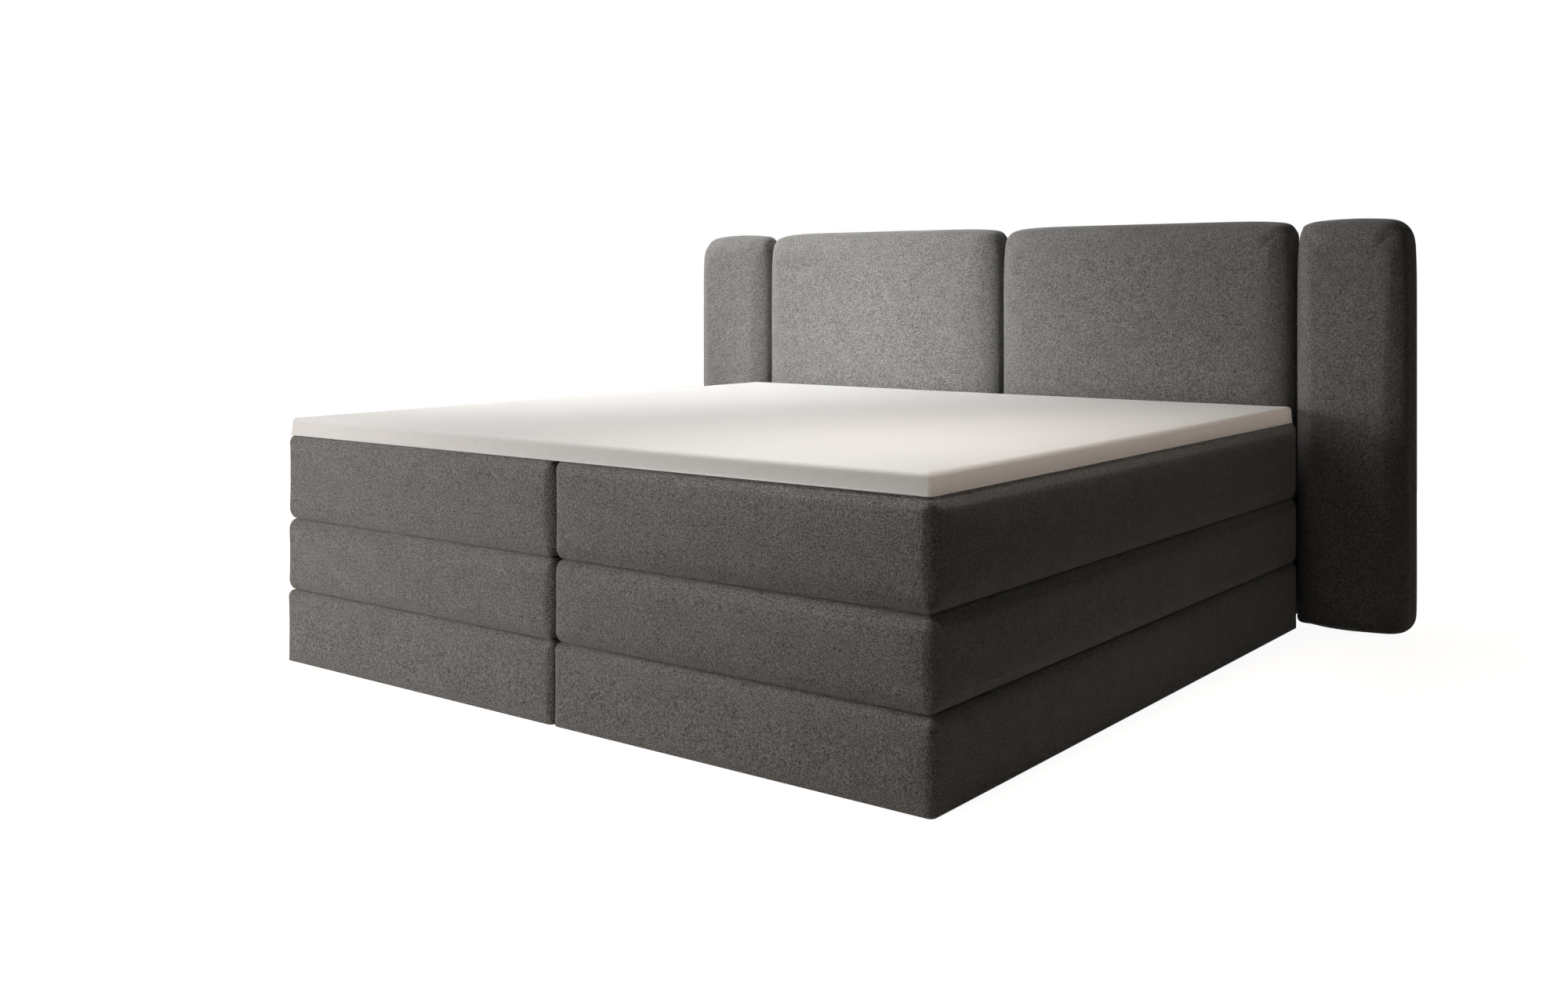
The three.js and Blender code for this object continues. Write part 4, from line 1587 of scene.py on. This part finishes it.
@dataclass
class LiftFitting:
    """The steel fitting at a side board: two plates, two arms and a gas strut.

    It is modelled at the right half's outer board and copied to the other three boards.
    Depths count inward from the board's face, and places are (Y, Z). Distances along the strut
    count from its foot pin, and those of its mouth, neck and seal back from the cylinder's end.
    """

    finishes: Finishes
    board: float = 0.9555
    other_board: float = 0.0455
    main: tuple[tuple[float, float], ...] = ((0.461, 0.045), (0.682, 0.215))
    follower: tuple[tuple[float, float], ...] = ((0.535, 0.036), (0.732, 0.215))
    strut: tuple[tuple[float, float], ...] = ((0.653, 0.035), (0.763, 0.215))
    plate: tuple[float, float] = (0.0005, 0.0035)
    arm: tuple[float, float] = (0.0045, 0.0105)
    head: tuple[float, float] = (0.0115, 0.0140)
    strut_middle: float = 0.024
    pin_seat: float = 0.003
    pin_end: float = 0.029
    pin: float = 0.005
    pin_head: float = 0.009
    float_head: float = 0.014
    ring: float = 0.0075
    ring_span: tuple[float, float] = (0.0282, 0.0289)
    hole: float = 0.006
    arm_width: float = 0.018
    eye: float = 0.013
    float_eye: float = 0.017
    float_hole: float = 0.010
    foot_plate: tuple[tuple[float, float], ...] = ((0.447, 0.021), (0.667, 0.105))
    foot_corner: float = 0.007
    foot_screws: tuple[tuple[float, float], ...] = (
        (0.456, 0.094), (0.500, 0.094), (0.600, 0.094), (0.657, 0.094), (0.505, 0.030),
        (0.590, 0.030))
    top_plate: tuple[tuple[float, float], ...] = ((0.666, 0.199), (0.779, 0.231))
    top_corner: float = 0.008
    top_screws: tuple[tuple[float, float], ...] = (
        (0.707, 0.224), (0.707, 0.206), (0.7475, 0.2245))
    screw: CrossScrew = CrossScrew(0.0038, 20, 0.0003, (0.0020, 0.00045), 0.0003)
    tube: float = 0.010
    weld: float = 0.0016
    cylinder: float = 0.009
    cylinder_start: float = 0.0125
    cylinder_length: float = 0.175
    bore: float = 0.0065
    bore_start: float = 0.021
    shoulder: float = 0.012
    neck: float = 0.0081
    neck_span: tuple[float, float] = (0.016, 0.006)
    lip: float = 0.009
    seal: float = 0.0063
    seal_span: tuple[float, float] = (0.006, 0.0012)
    seal_hole: float = 0.0044
    strut_eye: tuple[float, float] = (0.020, 0.028)
    rod: float = 0.004
    rod_start: float = 0.060
    rod_gap: float = 0.004
    rod_eye: float = 0.014
    rod_hole: float = 0.0105
    rod_neck: float = 0.0056
    rod_neck_span: tuple[float, float] = (-0.010, 0.0015)

    def at(self, depth: float, place: Sequence[float]) -> Vector:
        """Gives the point at a depth from the board and a place along and up it."""
        return Vector((self.board - depth, *place))

    def build(self) -> None:
        """Builds each piece once and lays it at all four boards."""
        black, zinc, bright = self.finishes.black, self.finishes.zinc, self.finishes.bright
        foot_pins = self._pins(self.main[0], self.follower[0], self.strut[0], self.foot_screws,
                               self.pin_head)
        top_pins = self._pins(self.main[1], self.follower[1], self.strut[1], self.top_screws,
                              self.float_head)
        parts = (
            ("base_plate", self._plate(self.foot_plate, self.foot_corner), "bed_base",
             Slot.BLACK, black, "base_plate"),
            ("base_pins", foot_pins, "bed_base", Slot.ZINC, zinc, "base_plate"),
            ("top_bracket", self._plate(self.top_plate, self.top_corner), "{side}_lift_unit",
             Slot.BLACK, black, "top_bracket"),
            ("top_pins", top_pins, "{side}_lift_unit", Slot.ZINC, zinc, "top_bracket"),
            ("follower_arm", self._arm(*self.follower, self.float_eye, self.float_hole),
             "{side}_followers", Slot.BLACK, black, "follower_arm"),
            ("gas_cylinder", self._cylinder(), "{side}_cylinders", Slot.BLACK, black,
             "gas_cylinder"),
            ("gas_rod", self._rod(), "{side}_rods", Slot.BRIGHT, bright, "gas_rod"),
            ("rod_eye", self._rod_eye(), "{side}_rods", Slot.BLACK, black, "gas_rod"))
        across = self.board + self.other_board
        for name, thing, body, slot, material, node in parts:
            for side in Side:
                for place, inner in (("outer", False), ("inner", True)):
                    flip = inner == (side is Side.RIGHT)
                    shift = side.value * across if inner else 0
                    twin = Bench.placed(thing, f"{side.word}_{place}_{name}_steel", flip, shift)
                    Bench.smooth(twin)
                    nodes = (f"{side.word}_{place}_{node}",)
                    Piece(twin, body.format(side=side.word), slot, material, nodes).join()
            bpy.data.objects.remove(thing)
        arms = Piece(self._main_arms(across), "{side}_arms", Slot.BLACK, black,
                     ("{side}_main_arm_frame",))
        arms.join_both("{side}_main_arm_frame_steel")

    def _standing(self, name: str, radius: float, start: float, end: float,
                  place: Sequence[float], sides: int = 32) -> Object:
        """Builds a round bar that stands off the board, from one depth to another."""
        return Bench.rod(name, radius, self.at(start, place), self.at(end, place), sides)

    def _on_axis(self, name: str, radius: float, start: float, end: float,
                 sides: int = 40) -> Object:
        """Builds a round bar on the strut's axis, between two distances from its foot pin."""
        return Bench.rod(name, radius, self._along(start), self._along(end), sides)

    def _plate(self, box: tuple[tuple[float, float], ...], corner: float) -> Object:
        """Builds a pressed plate with round corners and eased rims.

        Args:
            box: Its lowest and its highest place.
            corner: Radius of its corners.

        Returns:
            The plate.
        """
        plate = Bench.block("plate", self.at(self.plate[1], box[0]), self.at(self.plate[0], box[1]))
        Bench.round_corners(plate, 0, corner, corner, 5)
        Bench.ease(plate, 0.0005)
        return plate

    def _pins(self, main: Sequence[float], follower: Sequence[float], strut: Sequence[float],
              screws: Sequence[Sequence[float]], follower_head: float) -> Object:
        """Builds the pins, their washers and the screws of a plate.

        Args:
            main: The place of the main arm's pin.
            follower: The place of the follower's pin.
            strut: The place of the strut's pin.
            screws: The places of the screws.
            follower_head: Radius of the head of the follower's pin.

        Returns:
            Them all as one object.
        """
        things = []
        for place, radius in ((main, self.pin_head), (follower, follower_head)):
            shaft = self._standing("pin", self.pin, self.pin_seat, self.head[0], place)
            head = self._standing("head", radius, *self.head, place)
            Bench.ease(head, 0.0011, 3)
            things += [shaft, head]
        shaft = self._standing("pin", self.pin, self.pin_seat, self.pin_end, strut)
        Bench.ease(shaft, 0.0008)
        ring = self._standing("ring", self.ring, *self.ring_span, strut)
        Bench.ease(ring, 0.0002, 1)
        out = Vector((-1, 0, 0))
        heads = [self.screw.head(self.at(self.plate[1], place), out) for place in screws]
        return Bench.gather(*things, shaft, ring, *heads)

    def _arm(self, foot: tuple[float, float], top: tuple[float, float], top_eye: float,
             top_hole: float) -> Object:
        """Builds a flat arm with an eye at each end.

        Args:
            foot: The place of its lower eye.
            top: The place of its upper eye.
            top_eye: Radius of the upper eye.
            top_hole: Radius of the upper eye's hole.

        Returns:
            The arm.
        """
        arm = self._standing("arm", self.eye, *self.arm, foot, 40)
        upper = self._standing("eye", top_eye, *self.arm, top, 40)
        Bench.weld(arm, upper, self._bar(foot, top))
        self._drill(arm, self.hole, self.arm, foot)
        self._drill(arm, top_hole, self.arm, top)
        Bench.ease(arm, 0.0007)
        return arm

    def _drill(self, thing: Object, radius: float, depths: Sequence[float],
               place: Sequence[float]) -> None:
        """Drills a hole across a piece that lies between two depths."""
        Bench.drill(thing, radius, self.at(depths[0] - PAST, place),
                    self.at(depths[1] + PAST, place))

    def _bar(self, foot: tuple[float, float], top: tuple[float, float]) -> Object:
        """Builds the straight bar between two eyes.

        Args:
            foot: The place of the lower eye.
            top: The place of the upper eye.

        Returns:
            The bar.
        """
        run = Vector(top) - Vector(foot)
        half = (self.arm[1] - self.arm[0]) / 2
        bar = Bench.block("bar", (-half, -self.arm_width / 2, 0),
                          (half, self.arm_width / 2, run.length))
        Bench.take(bar)
        bar.rotation_euler.x = -math.atan2(run.x, run.y)
        bar.location = self.at(self.arm[0] + half, foot)
        bpy.ops.object.transform_apply()
        return bar

    def _main_arms(self, across: float) -> Object:
        """Builds both main arms of a half and the tube that is welded between them.

        Args:
            across: How far the two boards' depths add up to.

        Returns:
            The arms and the tube as one object.
        """
        arm = self._arm(*self.main, self.eye, self.hole)
        twin = Bench.placed(arm, "twin", True, across)
        centre = [(a + b) / 2 for a, b in zip(*self.main)]
        inside = self.arm[1] - 0.001
        start, end = self.at(inside, centre), self.at(inside, centre)
        end.x = across - start.x
        things = [arm, twin, Bench.rod("tube", self.tube, start, end, 40)]
        for x in (start.x - 0.001, end.x + 0.001):
            bpy.ops.object.select_all(action="DESELECT")
            bpy.ops.mesh.primitive_torus_add(location=(x, *centre), rotation=(0, math.pi / 2, 0),
                                             major_radius=self.tube, minor_radius=self.weld,
                                             major_segments=40, minor_segments=10)
            bpy.ops.object.transform_apply()
            things.append(bpy.context.object)
        return Bench.gather(*things)

    def _reach(self) -> float:
        """Gives the distance between the strut's two pins."""
        return (Vector(self.strut[1]) - Vector(self.strut[0])).length

    def _along(self, distance: float) -> Vector:
        """Gives the point of the strut's axis at a distance from its foot pin."""
        start, end = (self.at(self.strut_middle, place) for place in self.strut)
        return start + (end - start).normalized() * distance

    def _ring(self, place: tuple[float, float], radius: float, hole: float) -> Object:
        """Builds the eye of a strut.

        Args:
            place: The place of its pin.
            radius: Its radius.
            hole: Radius of its hole.

        Returns:
            The eye.
        """
        ring = self._standing("ring", radius, *self.strut_eye, place, 40)
        self._drill(ring, hole, self.strut_eye, place)
        Bench.ease(ring, 0.0008)
        return ring

    def _cylinder(self) -> Object:
        """Builds the gas cylinder: its foot eye, its tube and the crimp and seal at its mouth.

        Returns:
            The cylinder.
        """
        end = self.cylinder_length
        tube = self._on_axis("tube", self.cylinder, self.cylinder_start, end - self.shoulder)
        Bench.ease(tube, 0.0015, 3)
        neck = self._on_axis("neck", self.neck, *(end - back for back in self.neck_span))
        lip = self._on_axis("lip", self.cylinder, end - self.lip, end)
        Bench.ease(lip, 0.0012, 3)
        Bench.weld(tube, neck, lip)
        Bench.drill(tube, self.bore, self._along(self.bore_start), self._along(end + PAST))
        seal = self._on_axis("seal", self.seal, *(end - back for back in self.seal_span), 32)
        Bench.drill(seal, self.seal_hole, self._along(end - 2 * PAST), self._along(end + PAST))
        return Bench.gather(tube, seal, self._ring(self.strut[0], self.eye, self.hole))

    def _rod(self) -> Object:
        """Builds the bright piston rod.

        Returns:
            The rod.
        """
        rod = self._on_axis("rod", self.rod, self.rod_start,
                            self._reach() - self.rod_eye - self.rod_gap, 32)
        Bench.ease(rod, 0.0006)
        return rod

    def _rod_eye(self) -> Object:
        """Builds the eye on the piston rod with its threaded neck.

        Returns:
            The eye.
        """
        rim = self._reach() - self.rod_eye
        neck = self._on_axis("neck", self.rod_neck, *(rim + way for way in self.rod_neck_span), 6)
        Bench.ease(neck, 0.0005)
        return Bench.gather(neck, self._ring(self.strut[1], self.rod_eye, self.rod_hole))


@dataclass
class Bolts:
    """The bolts that join the two halves and hold the headboard."""

    finishes: Finishes
    shaft: float = 0.005
    head: float = 0.009
    head_length: float = 0.006
    socket: float = 0.0035
    socket_depth: float = 0.0035
    join_reach: float = 0.046
    join_height: float = 0.095
    join_places: tuple[float, float] = (-0.718, 0.111)
    board_x: float = 0.486
    board_height: float = 0.100
    board_span: tuple[float, float] = (0.887, 1.062)
    sleeve: float = 0.010
    sleeve_span: tuple[float, float] = (0.9325, 1.0265)
    sleeve_room: float = 0.0006

    def build(self) -> None:
        """Builds both kinds of bolt once and lays them at their places."""
        middle = Vector((0, 0, self.join_height))
        reach = Vector((self.join_reach, 0, 0))
        bolt = self._bolt(middle - reach, middle + reach)
        for node, y in zip(("foot_joining_bolt", "head_joining_bolt"), self.join_places):
            self._lay(bolt, node, Vector((0, y, 0)))
        bpy.data.objects.remove(bolt)
        start, end, first, last = (Vector((0, y, self.board_height))
                                   for y in self.board_span + self.sleeve_span)
        bolt = self._bolt(start, end)
        tube = Bench.rod("sleeve", self.sleeve, first, last, 40)
        Bench.drill(tube, self.shaft + self.sleeve_room, start, end)
        Bench.ease(tube, 0.0006)
        Bench.gather(bolt, tube)
        for side in Side:
            place = Vector((side.value * self.board_x, 0, 0))
            self._lay(bolt, f"{side.word}_headboard_bolt", place)
        bpy.data.objects.remove(bolt)

    def _bolt(self, start: Vector, end: Vector) -> Object:
        """Builds a bolt with a round socket head at its start and a nut at its end.

        Args:
            start: The place under its head.
            end: The place under its nut.

        Returns:
            The bolt.
        """
        way = (end - start).normalized()
        shaft = Bench.rod("bolt", self.shaft, start - way * 0.001,
                          end + way * (self.head_length - 0.0004))
        Bench.ease(shaft, 0.0006)
        head = Bench.rod("head", self.head, start - way * self.head_length, start, 40)
        Bench.ease(head, 0.0012, 3)
        Bench.drill(head, self.socket, start - way * (self.head_length + PAST),
                    start - way * (self.head_length - self.socket_depth), 6)
        nut = Bench.rod("nut", self.head, end, end + way * (self.head_length - 0.001), 6)
        Bench.ease(nut, 0.0005)
        return Bench.gather(shaft, head, nut)

    def _lay(self, bolt: Object, node: str, place: Vector) -> None:
        """Lays a copy of a bolt at a place.

        Args:
            bolt: The bolt.
            node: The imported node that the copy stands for.
            place: How far the copy is moved.
        """
        twin = Bench.copy(bolt, f"{node}_steel")
        twin.location = place
        bpy.ops.object.transform_apply()
        Bench.smooth(twin)
        Piece(twin, "bed_base", Slot.ZINC, self.finishes.zinc, (node,)).join()


@dataclass
class HeadboardBack:
    """What holds the headboard together behind: two rails, the felt's hems and their staples."""

    finishes: Finishes
    panels: Panels = Panels()
    reach: float = 1.172
    front: float = 1.0435
    thickness: float = 0.018
    rails: tuple[tuple[str, float, float], ...] = (
        ("headboard_lower_rail", 0.055, 0.145), ("headboard_upper_rail", 0.815, 0.905))
    bolt_places: tuple[float, float] = (-0.486, 0.486)
    bolt_height: float = 0.100
    bolt_hole: float = 0.006
    screw: CrossScrew = CrossScrew(0.0045, 24, 0.0004, (0.0026, 0.0005), 0.0006)
    screw_places: tuple[float, ...] = (0.08, 0.45, 0.90, 1.04, 1.14)
    screw_margin: float = 0.022
    hem_front: float = 1.0431
    hem: float = 0.0003
    hem_width: float = 0.038
    hem_margin: float = 0.004
    hem_corner: float = 0.046
    outer_hem_corner: float = 0.076
    staple: tuple[float, float] = (0.005, 0.0006)
    staple_rise: tuple[float, float] = (-0.0002, 0.0006)
    staple_step: float = 0.055
    staple_row: float = 0.0268
    staple_gap: float = 0.01

    def build(self) -> None:
        """Builds the rails with their screws, and the hems with their staples."""
        for name, foot, top in self.rails:
            self._rail(name, foot, top)
        for kind, span, far in (("inner", self.panels.inner, self.hem_corner),
                                ("outer", self.panels.outer, self.outer_hem_corner)):
            name = "headboard_{side}_" + kind
            hem = Piece(self._hem(span, far), "bed_base", Slot.FELT, self.finishes.felt)
            hem.join_both(f"{name}_hem", None)
            staples = Piece(self._staples(span), "bed_base", Slot.ZINC, self.finishes.zinc)
            staples.join_both(f"{name}_staples", None)

    def _rail(self, name: str, foot: float, top: float) -> None:
        """Builds one rail with eased edges and its countersunk screws.

        Args:
            name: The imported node's name.
            foot: The rail's lowest Z.
            top: Its highest Z.
        """
        back = self.front + self.thickness
        rail = Bench.block(f"{name}_pine", (-self.reach, self.front, foot),
                           (self.reach, back, top))
        Bench.ease(rail, 0.0025, 3)
        if foot < self.bolt_height < top:
            for x in self.bolt_places:
                Bench.drill(rail, self.bolt_hole, (x, self.front - PAST, self.bolt_height),
                            (x, back + PAST, self.bolt_height))
        screws = [self.screw.head(Vector((side.value * x, back, z)), Vector((0, 1, 0)))
                  for x in self.screw_places for side in Side
                  for z in (foot + self.screw_margin, top - self.screw_margin)]
        Bench.smooth(rail)
        Piece(rail, "bed_base", Slot.PINE, self.finishes.pine_across, (name,)).join()
        heads = Bench.gather(*screws)
        heads.name = heads.data.name = f"{name}_screws"
        Bench.smooth(heads)
        Piece(heads, "bed_base", Slot.ZINC, self.finishes.zinc).join()

    def _hem(self, span: tuple[float, float], far: float) -> Object:
        """Builds the felt's hem, turned over a panel's board and stapled to its back.

        Args:
            span: The panel's lowest and highest X.
            far: Radius of the hem's corners away from the middle.

        Returns:
            The hem.
        """
        back = self.hem_front + self.hem
        foot, top = self.panels.foot, self.panels.top
        edge, inside = self.hem_margin, self.hem_margin + self.hem_width
        hem = Bench.block("hem", (span[0] + edge, self.hem_front, foot + edge),
                          (span[1] - edge, back, top - edge))
        Bench.round_corners(hem, 1, self.hem_corner, far, 8)
        Bench.cut(hem, (span[0] + inside, self.hem_front - PAST, foot + inside),
                  (span[1] - inside, back + PAST, top - inside))
        return hem

    def _staples(self, span: tuple[float, float]) -> Object:
        """Builds the staples along a hem, apart from where a rail covers it.

        Args:
            span: The panel's lowest and highest X.

        Returns:
            The staples as one object.
        """
        row, gap = self.staple_row, self.staple_gap
        left, right = span[0] + row, span[1] - row
        foot, top = self.panels.foot + row, self.panels.top - row
        across = int((right - left) / self.staple_step)
        up = int((top - foot) / self.staple_step)
        staples = []
        for number in range(across + 1):
            x = left + (right - left) * number / across
            staples += [self._staple(x, z, *self.staple) for z in (foot, top)]
        for number in range(1, up):
            z = foot + (top - foot) * number / up
            if not any(low - gap < z < high + gap for _, low, high in self.rails):
                staples += [self._staple(x, z, *self.staple[::-1]) for x in (left, right)]
        return Bench.gather(*staples)

    def _staple(self, x: float, z: float, wide: float, high: float) -> Object:
        """Builds one staple's crown.

        Args:
            x: The place of its middle along X.
            z: The place of its middle along Z.
            wide: Half its width.
            high: Half its height.

        Returns:
            The crown.
        """
        low, top = (self.hem_front + self.hem + rise for rise in self.staple_rise)
        staple = Bench.block("staple", (x - wide, low, z - high), (x + wide, top, z + high))
        Bench.ease(staple, 0.0003, 1)
        return staple


@dataclass
class Joinery:
    """The chipboards of the storage boxes and the headboard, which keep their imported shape."""

    finishes: Finishes

    def build(self) -> None:
        """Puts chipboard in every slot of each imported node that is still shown."""
        for name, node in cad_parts.items():
            if not node.hide_render:
                for place in node.material_slots:
                    place.material = self.finishes.chipboard
                log.info("%s keeps its packed shape", name)


@dataclass(frozen=True)
class Lamp:
    """A rectangular lamp: its place, what it looks at, and its size, watts, colour and spread."""

    name: str
    place: tuple[float, float, float]
    target: tuple[float, float, float]
    size: tuple[float, float]
    power: float
    colour: Colour
    spread: float = 180

    def hang(self) -> None:
        """Hangs the lamp."""
        data = bpy.data.lights.new(self.name, "AREA")
        data.shape = "RECTANGLE"
        data.size, data.size_y = self.size
        data.energy, data.color = self.power, self.colour
        data.spread = math.radians(self.spread)
        lamp = bpy.data.objects.new(self.name, data)
        lamp.location = self.place
        toward = Vector(self.target) - Vector(self.place)
        lamp.rotation_euler = toward.to_track_quat("-Z", "Y").to_euler()
        bpy.context.scene.collection.objects.link(lamp)


@dataclass
class Studio:
    """The floor, the light and the camera."""

    camera_place: tuple[float, float, float] = (2.4683, -3.4458, 0.9789)
    camera_turn: float = 37.325
    lens: float = 34.690
    sensor: float = 36.0
    shift: float = -0.12797
    floor_colour: Colour = (0.47, 0.41, 0.355)
    floor_white: tuple[float, float] = (0.93, 1.0)
    floor_span: tuple[float, float] = (1.5, 3.5)
    world_light: float = 0.015
    world_colour: Colour = (1, 0.86, 0.74)
    lamps: tuple[Lamp, ...] = (
        Lamp("left_ceiling", (-1.8, -0.4, 3.2), (0, 0, 0.5), (1.8, 1.8), 35, (1, 0.95, 0.93)),
        Lamp("left_window", (-2.6, 0.6, 2.4), (-0.3, 0.2, 0.6), (1.5, 1.5), 47, (1, 0.98, 0.94)),
        Lamp("left_front", (-2.4, -4.0, 1.2), (-0.7, -1.07, 0.35), (1.5, 1.5), 14.6,
             (1, 0.97, 0.94), 60),
        Lamp("headboard", (-1.32, -4.23, 2.55), (-0.6, 0.95, 0.92), (0.5, 0.5), 5.1, (1, 1, 1), 24),
        Lamp("near_corner", (0.7, -1.5, 2.4), (0.7, -0.9, 0.6), (0.8, 0.8), 2.6,
             (1, 0.97, 0.93), 60),
        Lamp("right_ceiling", (0.75, -0.2, 2.6), (0.75, -0.2, 0.6), (0.6, 1.4), 2.0,
             (1, 0.93, 0.84), 60),
        Lamp("right_strip", (2.8, -0.3, 0.66), (1, -0.1, 0.63), (2.0, 0.05), 0.14,
             (1, 0.84, 0.72), 4),
        Lamp("behind", (0.3, 4.4, 1.0), (0, 1.06, 0.6), (3.0, 0.8), 40, (1, 0.93, 0.86)))

    def build(self) -> None:
        """Sets up the studio."""
        scene = bpy.context.scene
        scene.view_settings.view_transform = "Standard"
        self._camera(scene)
        self._floor()
        self._world(scene)
        for lamp in self.lamps:
            lamp.hang()

    def _camera(self, scene: bpy.types.Scene) -> None:
        """Adds the camera at the photograph's place.

        Args:
            scene: The scene that it shows.
        """
        data = bpy.data.cameras.new("camera")
        data.lens, data.sensor_width, data.shift_y = self.lens, self.sensor, self.shift
        camera = bpy.data.objects.new("camera", data)
        camera.location = self.camera_place
        camera.rotation_euler = (math.radians(90), 0, math.radians(self.camera_turn))
        scene.collection.objects.link(camera)
        scene.camera = camera

    def _floor(self) -> None:
        """Lays a pale floor that shows white where it is lit and keeps the bed's shadow."""
        bpy.ops.object.select_all(action="DESELECT")
        bpy.ops.mesh.primitive_plane_add(size=60)
        floor = bpy.context.object
        floor.name = "floor"
        board = NodeBoard("floor")
        away = board.node("ShaderNodeVectorMath", {0: board.place}, operation="LENGTH")
        white = board.span(away.outputs["Value"], *self.floor_span, *self.floor_white)
        board.set(Base_Color=(*self.floor_colour, 1), Roughness=0.9, Specular_IOR_Level=0.0,
                  Emission_Color=(1, 1, 1, 1))
        board.link("Emission Strength", board.math("MULTIPLY", board.seen(), white))
        floor.data.materials.append(board.material)

    def _world(self, scene: bpy.types.Scene) -> None:
        """Makes a world that shows white and lights the bed weakly.

        Args:
            scene: The scene that it lights.
        """
        world = bpy.data.worlds.new("studio")
        world.use_nodes = True
        nodes = Nodes(world.node_tree)
        ground = nodes.tree.nodes["Background"]
        bright = nodes.span(nodes.seen(), 0, 1, self.world_light, 1)
        nodes.tree.links.new(bright, ground.inputs["Strength"])
        warm = nodes.tint(bright, self.world_colour, (1, 1, 1))
        nodes.tree.links.new(warm, ground.inputs["Color"])
        scene.world = world


def main() -> None:
    """Builds the bed's looks and the studio in order."""
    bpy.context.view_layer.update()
    Studio().build()
    finishes = Finishes()
    for part in (Tiers(finishes), Fillings(finishes), SpringBase(finishes), LiftFitting(finishes),
                 Topper(finishes), Headboard(finishes), HeadboardBack(finishes), Bolts(finishes),
                 Joinery(finishes)):
        part.build()
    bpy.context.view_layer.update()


if __name__ == "__main__":
    logging.basicConfig(level=logging.INFO, format="%(message)s")
    main()
